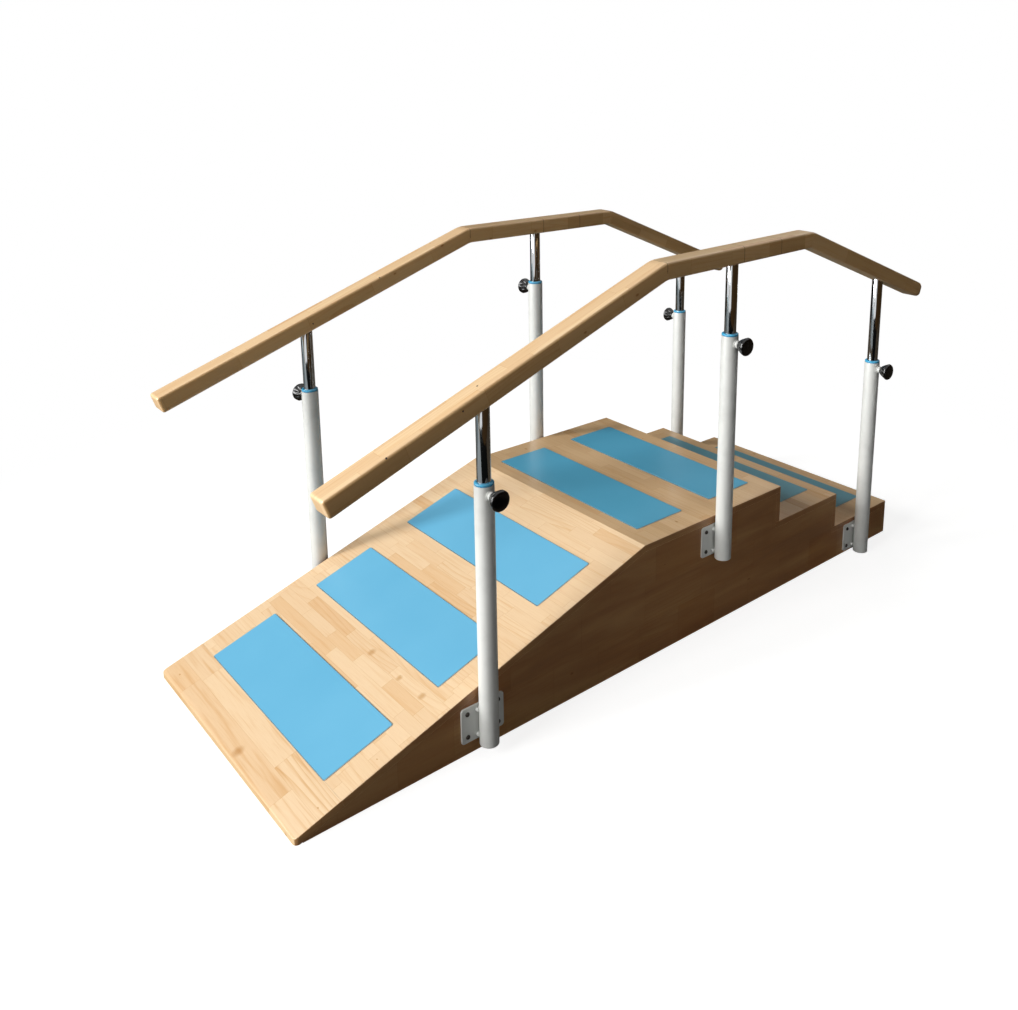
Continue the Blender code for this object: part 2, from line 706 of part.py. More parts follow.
def main():
    clear_scene()
    wood = finish_material("lacquered_beech", (0.812, 0.565, 0.323), 0.35)
    vinyl = finish_material("blue_vinyl", (0.130, 0.430, 0.690), 0.30)
    paint = finish_material("white_powder_coat", (0.760, 0.760, 0.730), 0.35)
    collar_plastic = finish_material("blue_polythene", (0.070, 0.360, 0.640), 0.40)
    chrome = finish_material("chromed_steel", (0.700, 0.710, 0.720), 0.08, 1.0)
    nylon = finish_material("natural_nylon", (0.700, 0.680, 0.620), 0.45)
    steel = finish_material("zinc_plated_steel", (0.480, 0.480, 0.490), 0.35, 1.0)
    knob_plastic = finish_material("black_phenolic", (0.010, 0.010, 0.011), 0.30)
    add_panels(wood)
    add_ramp(wood)
    add_level_boards(wood)
    add_pads(vinyl)
    add_posts(paint, collar_plastic, steel, knob_plastic)
    add_handrails(wood, chrome, nylon)


main()
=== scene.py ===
import math

import bmesh
import bpy
from mathutils import Matrix, Vector


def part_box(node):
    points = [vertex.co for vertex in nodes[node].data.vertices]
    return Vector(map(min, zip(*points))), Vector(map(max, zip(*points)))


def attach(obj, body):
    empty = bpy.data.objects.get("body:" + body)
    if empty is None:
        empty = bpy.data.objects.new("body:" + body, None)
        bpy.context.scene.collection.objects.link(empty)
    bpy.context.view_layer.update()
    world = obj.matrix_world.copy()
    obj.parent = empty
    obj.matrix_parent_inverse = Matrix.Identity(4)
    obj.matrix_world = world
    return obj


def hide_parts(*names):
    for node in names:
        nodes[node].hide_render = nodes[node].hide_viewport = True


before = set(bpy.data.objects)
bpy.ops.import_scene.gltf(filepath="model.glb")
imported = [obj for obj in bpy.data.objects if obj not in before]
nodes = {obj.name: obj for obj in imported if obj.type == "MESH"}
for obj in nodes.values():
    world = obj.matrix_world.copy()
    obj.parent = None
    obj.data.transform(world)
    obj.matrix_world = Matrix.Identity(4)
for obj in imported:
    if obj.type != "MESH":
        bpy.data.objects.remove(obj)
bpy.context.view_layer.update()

sides = ("near", "far")
posts = ("ramp", "platform", "stair")
rootBody = "body_and_posts"


def linear(hexColour):
    # an sRGB hex value as the linear colour that Blender's sockets take
    parts = [int(hexColour[i:i + 2], 16) / 255 for i in (1, 3, 5)]
    return tuple(p / 12.92 if p <= 0.04045 else ((p + 0.055) / 1.055) ** 2.4 for p in parts) + (1.0,)


def addNode(tree, kind, settings=None, links=None):
    # settings go to an input where the key is a number or an input's name, else to the node itself;
    # a link is a socket, or a node for its first output
    node = tree.nodes.new(kind)
    for key, value in (settings or {}).items():
        if isinstance(key, str) and key not in node.inputs:
            setattr(node, key, value)
        else:
            node.inputs[key].default_value = value
    for key, source in (links or {}).items():
        socket = source.outputs[0] if isinstance(source, bpy.types.Node) else source
        tree.links.new(socket, node.inputs[key])
    return node


def newMaterial(name, settings):
    # a material with its Principled shader set, and the tree to add a pattern to
    material = bpy.data.materials.new(name)
    material.use_nodes = True
    tree = material.node_tree
    shader = tree.nodes["Principled BSDF"]
    for key, value in settings.items():
        shader.inputs[key].default_value = value
    return material, tree, shader


def setStops(ramp, stops):
    elements = ramp.color_ramp.elements
    while len(elements) < len(stops):
        elements.new(0.5)
    for element, (position, colour) in zip(elements, stops):
        element.position = position
        element.color = colour if isinstance(colour, tuple) else linear(colour)


# Wood

staves = {
    "fibrePerMetre": 520.0,  # fibre bundles drawn 2 mm apart, coarser than real ones so that they show
    "fibreStretch": 16.0,    # how often a fibre changes in a metre along the grain
    "flamePerMetre": 95.0,   # soft darker flames about 10 mm wide
    "flameStretch": 4.5,
    "ringPerMetre": 75.0,    # growth rings 13 mm apart on a flat-sawn face
    "ringDrift": (1.5, 9.0),  # how often rings wander in a metre along and across the grain
    "ringBend": 10.0,        # how many rings they wander over
    "lateWood": 2.6,         # the higher, the thinner the dark part of a ring
    "flatSawn": (0.45, 0.95),  # blocks below this draw are sawn on the quarter and hardly show rings
    "knotPerMetre": (5.4, 9.0),  # cells in a metre along and across, each with one pin knot at most
    "knotFrom": 0.82,        # the draw from which a cell holds one
    "knotRadius": 0.045,     # in cells
    "knotHeart": 0.45,       # the full dark part of a knot
    "cloudPerMetre": (1.6, 11.0),
    "blockShare": (0.6, 1.5),  # the shortest and longest blocks, as shares of the board's usual length
    "rowShift": 17.0,        # sets the rows' joints apart
    "blockShift": 43.0,      # sets the blocks' grain apart
    "seamWidth": 0.0006,     # the glue line between two staves
    "jointWidth": 0.0009,    # the end of a finger joint
}


def staveGroup():
    # beech staves glued edge to edge: each block has its own tone, flames, rings and fibres
    group = bpy.data.node_groups.new("beechStaves", "ShaderNodeTree")
    for name in ("Along", "Across", "Seed", "Stave", "Block"):
        group.interface.new_socket(name=name, in_out="INPUT", socket_type="NodeSocketFloat")
    for name in ("Tone", "Flame", "Figure", "Seam", "Fibre", "Odd", "Knot", "Cloud"):
        group.interface.new_socket(name=name, in_out="OUTPUT", socket_type="NodeSocketFloat")
    start = addNode(group, "NodeGroupInput").outputs
    end = addNode(group, "NodeGroupOutput")
    along, across, seed = start["Along"], start["Across"], start["Seed"]
    # each row draws the length of its blocks and where they start, and each block its own look
    rowPlace = addNode(group, "ShaderNodeMath", {"operation": "DIVIDE"}, {0: across, 1: start["Stave"]})
    row = addNode(group, "ShaderNodeMath", {"operation": "FLOOR"}, {0: rowPlace})
    rowKey = addNode(group, "ShaderNodeCombineXYZ", None, {0: row, 1: seed})
    rowDice = addNode(group, "ShaderNodeTexWhiteNoise", {"noise_dimensions": "2D"}, {0: rowKey})
    rowParts = addNode(group, "ShaderNodeSeparateColor", None, {0: rowDice.outputs[1]}).outputs
    least, most = staves["blockShare"]
    share = addNode(group, "ShaderNodeMapRange", {3: least, 4: most}, {0: rowParts[0]})
    length = addNode(group, "ShaderNodeMath", {"operation": "MULTIPLY"}, {0: share, 1: start["Block"]})
    apart = {"operation": "MULTIPLY", 1: staves["rowShift"]}
    offset = addNode(group, "ShaderNodeMath", apart, {0: rowParts[1]})
    unshifted = addNode(group, "ShaderNodeMath", {"operation": "DIVIDE"}, {0: along, 1: length})
    blockPlace = addNode(group, "ShaderNodeMath", {"operation": "ADD"}, {0: unshifted, 1: offset})
    ownNumber = addNode(group, "ShaderNodeMath", {"operation": "FLOOR"}, {0: blockPlace})
    blockKey = addNode(group, "ShaderNodeCombineXYZ", None, {0: row, 1: ownNumber, 2: seed})
    dice = addNode(group, "ShaderNodeTexWhiteNoise", {"noise_dimensions": "3D"}, {0: blockKey})
    parts = addNode(group, "ShaderNodeSeparateColor", None, {0: dice.outputs[1]}).outputs
    # glue lines along the staves and finger joints at the ends of the blocks
    lines = []
    for within, size, width in ((rowPlace, start["Stave"], "seamWidth"), (blockPlace, length, "jointWidth")):
        folded = addNode(group, "ShaderNodeMath", {"operation": "PINGPONG", 1: 0.5}, {0: within})
        metres = addNode(group, "ShaderNodeMath", {"operation": "MULTIPLY"}, {0: folded, 1: size})
        fade = {1: 0.0, 2: staves[width], 3: 1.0, 4: 0.0}
        lines.append(addNode(group, "ShaderNodeMapRange", fade, {0: metres}))
    seam = addNode(group, "ShaderNodeMath", {"operation": "MAXIMUM"}, {0: lines[0], 1: lines[1]})
    # the grain starts anew in every block
    away = {"operation": "SCALE", "Scale": staves["blockShift"]}
    origin = addNode(group, "ShaderNodeVectorMath", away, {0: dice.outputs[1]})
    onBoard = addNode(group, "ShaderNodeCombineXYZ", None, {0: along, 1: across})
    layers = []
    for stretch, density, detail, roughness in (
            (staves["fibreStretch"], staves["fibrePerMetre"], 3.0, 0.62),
            (staves["flameStretch"], staves["flamePerMetre"], 2.5, 0.5),
            (*staves["ringDrift"], 1.2, 0.4)):
        size = {"operation": "MULTIPLY_ADD", 1: (stretch, density, 1.0)}
        spot = addNode(group, "ShaderNodeVectorMath", size, {0: onBoard, 2: origin})
        noise = {"Scale": 1.0, "Detail": detail, "Roughness": roughness}
        layers.append(addNode(group, "ShaderNodeTexNoise", noise, {0: spot}))
    fibre, flame, drift = layers
    # growth rings across the stave, bent by the drift and dark in their late wood
    even = addNode(group, "ShaderNodeMath", {"operation": "MULTIPLY", 1: staves["ringPerMetre"]}, {0: across})
    bend = addNode(group, "ShaderNodeMath", {"operation": "MULTIPLY", 1: staves["ringBend"]}, {0: drift})
    phase = addNode(group, "ShaderNodeMath", {"operation": "ADD"}, {0: even, 1: bend})
    year = addNode(group, "ShaderNodeMath", {"operation": "FRACT"}, {0: phase})
    late = addNode(group, "ShaderNodeMath", {"operation": "POWER", 1: staves["lateWood"]}, {0: year})
    least, most = staves["flatSawn"]
    bold = addNode(group, "ShaderNodeMapRange", {1: least, 2: most, 3: 0.0, 4: 1.0}, {0: parts[1]})
    figure = addNode(group, "ShaderNodeMath", {"operation": "MULTIPLY"}, {0: late, 1: bold})
    # a pin knot in a cell here and there
    cells = {"operation": "MULTIPLY", 1: (*staves["knotPerMetre"], 1.0)}
    knotPlace = addNode(group, "ShaderNodeVectorMath", cells, {0: onBoard})
    flatCells = {"Scale": 1.0, "voronoi_dimensions": "2D"}
    knotCell = addNode(group, "ShaderNodeTexVoronoi", flatCells, {0: knotPlace}).outputs
    knotDice = addNode(group, "ShaderNodeSeparateColor", None, {0: knotCell[1]})
    sizes = {1: staves["knotFrom"], 2: 1.0, 3: 0.0, 4: staves["knotRadius"]}
    radius = addNode(group, "ShaderNodeMapRange", sizes, {0: knotDice})
    heart = addNode(group, "ShaderNodeMath", {"operation": "MULTIPLY", 1: staves["knotHeart"]}, {0: radius})
    knot = addNode(group, "ShaderNodeMapRange", {3: 1.0, 4: 0.0}, {0: knotCell[0], 1: heart, 2: radius})
    wide = {"operation": "MULTIPLY", 1: (*staves["cloudPerMetre"], 1.0)}
    cloudPlace = addNode(group, "ShaderNodeVectorMath", wide, {0: onBoard})
    soft = {"Scale": 1.0, "Detail": 3.5, "Roughness": 0.55, "Distortion": 0.4}
    cloud = addNode(group, "ShaderNodeTexNoise", soft, {0: cloudPlace})
    found = (parts[0], flame.outputs[0], figure.outputs[0], seam.outputs[0], fibre.outputs[0], parts[2],
             knot.outputs[0], cloud.outputs[0])
    for socket, source in zip(end.inputs, found):
        group.links.new(source, socket)
    return group


beechStaves = staveGroup()


def woodMarks(tree, look, spot, facing, along):
    # what one board has and the others don't, each as an amount and the wash that it adds
    found = []
    flat = addNode(tree, "ShaderNodeVectorMath", {"operation": "MULTIPLY", 1: (1, 1, 0)}, {0: spot})
    for x, y, radius in look.get("knots", ()):
        centre = {"operation": "DISTANCE", 1: (x, y, 0)}
        away = addNode(tree, "ShaderNodeVectorMath", centre, {0: flat}).outputs["Value"]
        fade = {1: radius * 0.3, 2: radius, 3: 1.0, 4: 0.0}
        found.append((addNode(tree, "ShaderNodeMapRange", fade, {0: away}), "#e2d2bc"))
    for joint in look.get("joints", ()):
        away = addNode(tree, "ShaderNodeMath", {"operation": "SUBTRACT", 1: joint}, {0: along})
        near = addNode(tree, "ShaderNodeMath", {"operation": "ABSOLUTE"}, {0: away})
        fade = {1: 0.0004, 2: 0.0012, 3: 1.0, 4: 0.0}
        found.append((addNode(tree, "ShaderNodeMapRange", fade, {0: near}), "#8a6f52"))
    if "frontShade" in look:
        # the toe's front edge, darkened as painted shade
        fade = {1: -0.36, 2: -0.8, 3: 0.0, 4: 1.0}
        found.append((addNode(tree, "ShaderNodeMapRange", fade, {0: facing.outputs[0]}), look["frontShade"]))
    return found


def beech(name, look):
    # satin-lacquered beech: pale straw colour, a soft clear gloss, tone changing from block to block; faces
    # turned to ±Y take a darker colour as painted shade
    material, tree, shader = newMaterial(name, {"Coat Weight": look["coat"], "Coat Roughness": 0.16})
    spot = addNode(tree, "ShaderNodeTexCoord").outputs["Object"]
    normal = addNode(tree, "ShaderNodeNewGeometry").outputs["Normal"]
    facing = addNode(tree, "ShaderNodeSeparateXYZ", None, {0: normal})
    sideways = addNode(tree, "ShaderNodeMath", {"operation": "ABSOLUTE"}, {0: facing.outputs[1]})
    # faces turned to ±Y: their grain runs another way, and their colour is darkened as painted shade
    shadedSide = addNode(tree, "ShaderNodeMapRange", {1: look["turnFrom"], 2: look["turnTo"]}, {0: sideways})
    flip = addNode(tree, "ShaderNodeMath", {"operation": "GREATER_THAN", 1: 0.5}, {0: shadedSide})
    axes = []
    for top, side in (("alongTop", "alongSide"), ("acrossTop", "acrossSide")):
        measured = []
        for key in (top, side):
            dot = addNode(tree, "ShaderNodeVectorMath", {"operation": "DOT_PRODUCT", 1: look[key]}, {0: spot})
            measured.append(dot.outputs["Value"])
        choice = {0: flip, 2: measured[0], 3: measured[1]}
        axes.append(addNode(tree, "ShaderNodeMix", {"data_type": "FLOAT"}, choice))
    widths = {"data_type": "FLOAT", 2: look["stave"], 3: look["staveSide"]}
    width = addNode(tree, "ShaderNodeMix", widths, {0: flip})
    sizes = {"node_tree": beechStaves, "Block": look["block"], "Seed": look["seed"]}
    grain = addNode(tree, "ShaderNodeGroup", sizes, {"Along": axes[0], "Across": axes[1], "Stave": width})
    tones = []
    for stops, driver in ((look["top"], "Tone"), (look["side"], look["sideDriver"])):
        tone = addNode(tree, "ShaderNodeValToRGB", None, {0: grain.outputs[driver]})
        setStops(tone, stops)
        tones.append(tone)
    both = addNode(tree, "ShaderNodeMix", {"data_type": "RGBA"}, {0: shadedSide, 6: tones[0], 7: tones[1]})
    colour = both.outputs[2]
    # flames, rings, fibres, knots, glue lines and the toe front's painted shade, each a darker wash over the
    # tone
    marks = []
    for source, low, high, wash in look["washes"]:
        fade = {1: low, 2: high, 3: 0.0, 4: 1.0}
        marks.append((addNode(tree, "ShaderNodeMapRange", fade, {0: grain.outputs[source]}), wash))
    marks += woodMarks(tree, look, spot, facing, axes[0])
    for amount, wash in marks:
        darker = {"data_type": "RGBA", "blend_type": "MULTIPLY", 7: linear(wash)}
        colour = addNode(tree, "ShaderNodeMix", darker, {0: amount, 6: colour}).outputs[2]
    tree.links.new(colour, shader.inputs["Base Color"])
    dull = {3: look["rough"] - 0.05, 4: look["rough"] + 0.09}
    gloss = addNode(tree, "ShaderNodeMapRange", dull, {0: grain.outputs["Fibre"]})
    tree.links.new(gloss.outputs[0], shader.inputs["Roughness"])
    heights = {0: grain.outputs["Fibre"], 1: grain.outputs["Seam"]}
    relief = addNode(tree, "ShaderNodeMath", {"operation": "SUBTRACT"}, heights)
    bump = addNode(tree, "ShaderNodeBump", {"Strength": 0.16, "Distance": 0.0004}, {"Height": relief})
    tree.links.new(bump.outputs[0], shader.inputs["Normal"])
    return material


boardLook = {
    "alongTop": (0, 1, 0), "alongSide": (1, 0, 0), "acrossSide": (0, 0, 1), "turnFrom": 0.55, "turnTo": 0.6,
    "stave": 0.036, "staveSide": 0.118, "block": 0.25, "seed": 3.0, "sideDriver": "Cloud",
    "rough": 0.36, "coat": 0.25,
    "top": ((0.0, "#edcca3"), (0.25, "#eecea6"), (0.6, "#f0d1a9"), (1.0, "#f2d4ad")),
    # the side faces' colour: the same beech darkened as painted shade
    "side": ((0.3, "#926743"), (0.44, "#9e7046"), (0.56, "#aa7f53"), (0.7, "#b68c5b")),
    "washes": (("Flame", 0.54, 0.76, "#f7eee1"), ("Figure", 0.2, 1.0, "#f5ebdc"),
               ("Fibre", 0.45, 0.8, "#f8f2e9"), ("Odd", 0.88, 0.92, "#f8f0e6"),
               ("Knot", 0.0, 1.0, "#dcc3a2"), ("Seam", 0.0, 1.0, "#eaddc8")),
}
rampPitch = math.atan2(0.346, 1.085)
upRamp = (math.cos(rampPitch), 0, math.sin(rampPitch))
# the toe's front face is darkened as painted shade
toeLook = {
    **boardLook, "acrossTop": upRamp, "stave": 0.118, "block": 0.5, "seed": 8.0, "frontShade": "#e4e3db",
    "knots": ((-1.163, -0.06, 0.019),),
    "washes": (("Flame", 0.5, 0.72, "#f1e4d1"), ("Figure", 0.15, 1.0, "#f0e2cd")) + boardLook["washes"][2:],
}
toeBeech = beech("lacqueredBeechToe", toeLook)
rampLook = {**boardLook, "acrossTop": upRamp,
            "knots": ((-0.785, -0.068, 0.014), (-0.789, -0.216, 0.011), (-0.786, -0.321, 0.013))}
rampBeech = beech("lacqueredBeechRamp", rampLook)
# the level boards' top: the same beech, darker than the ramp's, as painted shade
levelLook = {**boardLook, "acrossTop": (1, 0, 0), "seed": 11.0, "coat": 0.4,
             "top": ((0.0, "#dfba8c"), (0.25, "#e3be90"), (0.6, "#e6c294"), (1.0, "#e9c699"))}
levelBeech = beech("lacqueredBeechLevel", levelLook)
riserBeech = beech("lacqueredBeechRiser", {**boardLook, "seed": 23.0, "acrossTop": (0, 0, 1)})

boardWoods = {
    "ramp_toe_board": toeBeech, "ramp_deck": rampBeech, "platform_deck": levelBeech,
    "upper_tread": levelBeech, "lower_tread": levelBeech, "platform_riser": riserBeech,
    "upper_riser": riserBeech, "lower_riser": riserBeech, "near_side_panel": riserBeech,
    "far_side_panel": riserBeech, "centre_stringer": riserBeech,
}


def repaint(name, material):
    for holder in nodes[name].material_slots:
        holder.material = material


for board, wood in boardWoods.items():
    repaint(board, wood)
print("boards painted")

# Other finishes


def paintedEdgeShade(tree, colour, wash):
    # the faces turned to -X, towards the ramp's foot, darkened as painted shade
    normal = addNode(tree, "ShaderNodeNewGeometry").outputs["True Normal"]
    facing = addNode(tree, "ShaderNodeSeparateXYZ", None, {0: normal})
    front = addNode(tree, "ShaderNodeMapRange", {1: -0.36, 2: -0.6, 3: 0.0, 4: 1.0}, {0: facing})
    darker = {"data_type": "RGBA", "blend_type": "MULTIPLY", 7: linear(wash)}
    return addNode(tree, "ShaderNodeMix", darker, {0: front, 6: colour}).outputs[2]


def blueVinyl(name, low, high):
    # calendered vinyl sheet: smooth, a little glossy, faintly uneven in tone
    material, tree, shader = newMaterial(name, {"IOR": 1.5})
    spot = addNode(tree, "ShaderNodeTexCoord").outputs["Object"]
    cloud = addNode(tree, "ShaderNodeTexNoise", {"Scale": 5.0, "Detail": 2.0}, {0: spot}).outputs[0]
    tone = addNode(tree, "ShaderNodeValToRGB", None, {0: cloud})
    setStops(tone, ((0.3, low), (0.7, high)))
    # the pad's edges turned to -X are darkened as painted shade
    edgeShaded = paintedEdgeShade(tree, tone.outputs[0], "#5f7378")
    tree.links.new(edgeShaded, shader.inputs["Base Color"])
    # an embossed grit 1.6 mm apart
    grit = addNode(tree, "ShaderNodeTexVoronoi", {"Scale": 620.0}, {0: spot}).outputs[0]
    bump = addNode(tree, "ShaderNodeBump", {"Strength": 0.12, "Distance": 0.0002}, {"Height": grit})
    tree.links.new(bump.outputs[0], shader.inputs["Normal"])
    gloss = addNode(tree, "ShaderNodeMapRange", {3: 0.33, 4: 0.38}, {0: cloud})
    tree.links.new(gloss.outputs[0], shader.inputs["Roughness"])
    return material


def powderCoat():
    # white polyester powder coat on steel: glossy, with a fine orange peel and a little grime
    material, tree, shader = newMaterial("whitePowderCoat", {"IOR": 1.5})
    spot = addNode(tree, "ShaderNodeTexCoord").outputs["Object"]
    patches = {"Scale": 14.0, "Detail": 5.0, "Roughness": 0.65}
    grime = addNode(tree, "ShaderNodeTexNoise", patches, {0: spot}).outputs[0]
    tone = addNode(tree, "ShaderNodeValToRGB", None, {0: grime})
    setStops(tone, ((0.28, "#cbccc8"), (0.5, "#d4d5d1")))
    tree.links.new(tone.outputs[0], shader.inputs["Base Color"])
    peel = addNode(tree, "ShaderNodeTexNoise", {"Scale": 460.0, "Detail": 1.0}, {0: spot}).outputs[0]
    bump = addNode(tree, "ShaderNodeBump", {"Strength": 0.1, "Distance": 0.0003}, {"Height": peel})
    tree.links.new(bump.outputs[0], shader.inputs["Normal"])
    gloss = addNode(tree, "ShaderNodeMapRange", {3: 0.32, 4: 0.42}, {0: grime})
    tree.links.new(gloss.outputs[0], shader.inputs["Roughness"])
    return material


def chrome():
    # bright chrome on drawn tube: mirror-like, with faint scratches along it from the collar
    material, tree, shader = newMaterial("chromedSteel", {"Metallic": 1.0})
    spot = addNode(tree, "ShaderNodeTexCoord").outputs["Object"]
    long = addNode(tree, "ShaderNodeMapping", {"Scale": (900.0, 900.0, 9.0)}, {0: spot}).outputs[0]
    scratch = addNode(tree, "ShaderNodeTexNoise", {"Scale": 1.0, "Detail": 2.0}, {0: long}).outputs[0]
    gloss = addNode(tree, "ShaderNodeMapRange", {1: 0.5, 2: 0.75, 3: 0.05, 4: 0.16}, {0: scratch})
    tree.links.new(gloss.outputs[0], shader.inputs["Roughness"])
    tone = addNode(tree, "ShaderNodeValToRGB", None, {0: scratch})
    setStops(tone, ((0.3, "#d6d9db"), (0.7, "#c6c9cb")))
    tree.links.new(tone.outputs[0], shader.inputs["Base Color"])
    return material


def moulded(name, low, high, rough, settings, wash=None):
    # a moulded plastic: two close tones and a fine mould grain 2 mm apart
    material, tree, shader = newMaterial(name, settings)
    spot = addNode(tree, "ShaderNodeTexCoord").outputs["Object"]
    cloud = addNode(tree, "ShaderNodeTexNoise", {"Scale": 60.0, "Detail": 3.0}, {0: spot}).outputs[0]
    tone = addNode(tree, "ShaderNodeValToRGB", None, {0: cloud})
    setStops(tone, ((0.35, low), (0.65, high)))
    colour = paintedEdgeShade(tree, tone.outputs[0], wash) if wash else tone.outputs[0]
    tree.links.new(colour, shader.inputs["Base Color"])
    grain = addNode(tree, "ShaderNodeTexNoise", {"Scale": 500.0, "Detail": 2.0}, {0: spot}).outputs[0]
    bump = addNode(tree, "ShaderNodeBump", {"Strength": 0.12, "Distance": 0.0002}, {"Height": grain})
    tree.links.new(bump.outputs[0], shader.inputs["Normal"])
    gloss = addNode(tree, "ShaderNodeMapRange", {3: rough - 0.04, 4: rough + 0.08}, {0: cloud})
    tree.links.new(gloss.outputs[0], shader.inputs["Roughness"])
    return material


rampVinyl = blueVinyl("blueVinyl", "#6ab6da", "#6fbadd")
# a deeper blue than the ramp's, as painted shade
shadedLevelVinyl = blueVinyl("blueVinylLevelShaded", "#5bb1d3", "#60b5d7")
# greyer and darker than the ramp's, as painted shade
shadedTreadVinyl = blueVinyl("blueVinylTreadShaded", "#619aaa", "#669fae")
paint = powderCoat()
chromed = chrome()
# the collars: waxy and bright
collarBlue = moulded("bluePolythene", "#46a9d4", "#52b3db", 0.3, {"Coat Weight": 0.2})
# the knobs: polished
knobBlack = moulded("blackPhenolic", "#050607", "#0a0b0c", 0.2, {"Coat Weight": 0.3, "Coat Roughness": 0.08})
# the guide bushes: milky
bushNylon = moulded("naturalNylon", "#d3d0c4", "#dcd9ce", 0.42, {"Subsurface Weight": 0.1})
# the posts' end plugs: dull
plugGrey = moulded("greyPolythene", "#a9aba9", "#b4b6b4", 0.4, {})
# the bead round a pad: dull, darkened as painted shade on its faces turned to -X
sealant = moulded("greySealant", "#9fb0b6", "#aab9be", 0.45, {}, "#6b7d84")
# the studs: bright with a dull bloom
zinc = moulded("zincPlatedSteel", "#83868a", "#9a9da1", 0.3, {"Metallic": 1.0})
# the screws: oxide-blackened heads under lacquer
darkScrew = moulded("blackenedScrew", "#231b15", "#2e241c", 0.45, {})
print("finishes made")

# Pieces


def spun(profile, steps):
    # a closed profile of radius and height, spun about Z
    bm = bmesh.new()
    points = [bm.verts.new((radius, 0, height)) for radius, height in profile]
    ring = [bm.edges.new((points[i - 1], points[i])) for i in range(len(points))]
    bmesh.ops.spin(bm, geom=points + ring, axis=(0, 0, 1), cent=(0, 0, 0), angle=2 * math.pi,
                   steps=steps, use_merge=True)
    bmesh.ops.remove_doubles(bm, verts=bm.verts, dist=1e-7)
    return bm


def soften(bm, edges, width, segments):
    bmesh.ops.bevel(bm, geom=edges, offset=width, segments=segments, profile=0.5, affect="EDGES",
                    material=-1, clamp_overlap=True)


def rimEdges(bm, radius, height):
    # the edges of the ring at this radius and height
    found = []
    for edge in bm.edges:
        ends = [abs(v.co.xy.length - radius) < 1e-5 and abs(v.co.z - height) < 1e-5 for v in edge.verts]
        if all(ends):
            found.append(edge)
    return found


def block(size, middle=(0, 0, 0)):
    bm = bmesh.new()
    bmesh.ops.create_cube(bm, size=1.0)
    bmesh.ops.scale(bm, vec=size, verts=bm.verts)
    bmesh.ops.translate(bm, vec=middle, verts=bm.verts)
    return bm


def edgesAlong(bm, axis):
    # the edges that run along one axis
    found = []
    for edge in bm.edges:
        run = (edge.verts[0].co - edge.verts[1].co).normalized()
        if abs(run[axis]) > 0.999:
            found.append(edge)
    return found


def growFace(bm, face, keepUnder=False):
    # extrudes a face and takes the old one out, so that no disc is left inside the piece
    made = bmesh.ops.extrude_face_region(bm, geom=[face])["geom"]
    if not keepUnder:
        bmesh.ops.delete(bm, geom=[face], context="FACES_ONLY")
    return [item for item in made if isinstance(item, bmesh.types.BMFace)][0]


def stacked(rings, around, draw=None):
    # rings of a height and a radius grown along +Z from a filled circle; draw pulls a point in by
    # a share of the ring's third value
    bm = bmesh.new()
    bmesh.ops.create_circle(bm, cap_ends=True, segments=around, radius=1.0)
    top = next(iter(bm.faces))
    directions = [v.co.normalized() for v in top.verts]
    for index, ring in enumerate(rings):
        if index:
            top = growFace(bm, top, keepUnder=index == 1)
        for vert in top.verts:
            direction = max(directions, key=vert.co.xy.to_3d().normalized().dot)
            reach = ring[1] - (draw(direction) * ring[2] if draw else 0.0)
            vert.co = (direction.x * reach, direction.y * reach, ring[0])
    return bm


def meshOf(bm, name, sharp=35.0):
    # merged, facing outwards, and smooth but for its sharp corners
    bmesh.ops.remove_doubles(bm, verts=bm.verts, dist=1e-7)
    bmesh.ops.recalc_face_normals(bm, faces=bm.faces)
    mesh = bpy.data.meshes.new(name)
    bm.to_mesh(mesh)
    bm.free()
    mesh.shade_smooth()
    mesh.set_sharp_from_angle(angle=math.radians(sharp))
    return mesh


def place(name, mesh, matrix, material, body, replaced=()):
    # a finished piece: its place is in its mesh, as a CAD node's is
    own = mesh.copy()
    own.name = name
    own.transform(matrix)
    own.materials.clear()
    own.materials.append(material)
    piece = bpy.data.objects.new(name, own)
    bpy.context.scene.collection.objects.link(piece)
    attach(piece, body)
    if replaced:
        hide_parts(*replaced)
    return piece


postTube = {"outside": 0.025, "wall": 0.002, "length": 0.700, "edge": 0.0006, "steps": 72}


def tubeMesh(outside, wall, length, edge, steps):
    inside = outside - wall
    bm = spun(((inside, 0), (outside, 0), (outside, length), (inside, length)), steps)
    rims = [e for radius in (inside, outside) for height in (0, length) for e in rimEdges(bm, radius, height)]
    soften(bm, rims, edge, 2)
    return meshOf(bm, "tube")


flange = {
    "size": (0.130, 0.005, 0.098), "corner": 0.008, "edge": 0.0009,
    "middleUp": 0.055,     # from the tube's foot to the plate's middle
    "behind": 0.029,       # from the tube's axis to the middle of the plate's thickness
    "screws": (0.094, 0.064),
    "weldUp": 0.035,       # the weld beads lie this far above and below the plate's middle
}


def flangeMesh():
    bm = block(flange["size"], (0, flange["behind"], flange["middleUp"]))
    soften(bm, edgesAlong(bm, 1), flange["corner"], 6)
    rims = [e for e in bm.edges if abs(e.verts[0].co.y - e.verts[1].co.y) < 1e-6]
    soften(bm, rims, flange["edge"], 2)
    return meshOf(bm, "flange", 18.0)


weld = {
    "length": 0.046, "radius": 0.0062, "ripples": 15, "rippleDepth": 0.09, "sides": 16, "rings": 75,
    "endShare": 0.45, "endRise": 9,  # how thin the bead starts, and how fast it fills out
    "inFront": 0.0055,               # from the middle of the plate's thickness to the bead's axis
}


def weldMesh():
    # a bead with the ripples of a hand weld, thin at its ends
    rings = []
    for index in range(weld["rings"] + 1):
        t = index / weld["rings"]
        thin = min(1.0, weld["endShare"] + weld["endRise"] * min(t, 1 - t))
        ripple = 1 - weld["rippleDepth"] * abs(math.sin(math.pi * weld["ripples"] * t))
        rings.append((weld["length"] * (t - 0.5), weld["radius"] * thin * ripple))
    return meshOf(stacked(rings, weld["sides"]), "weld", 60.0)


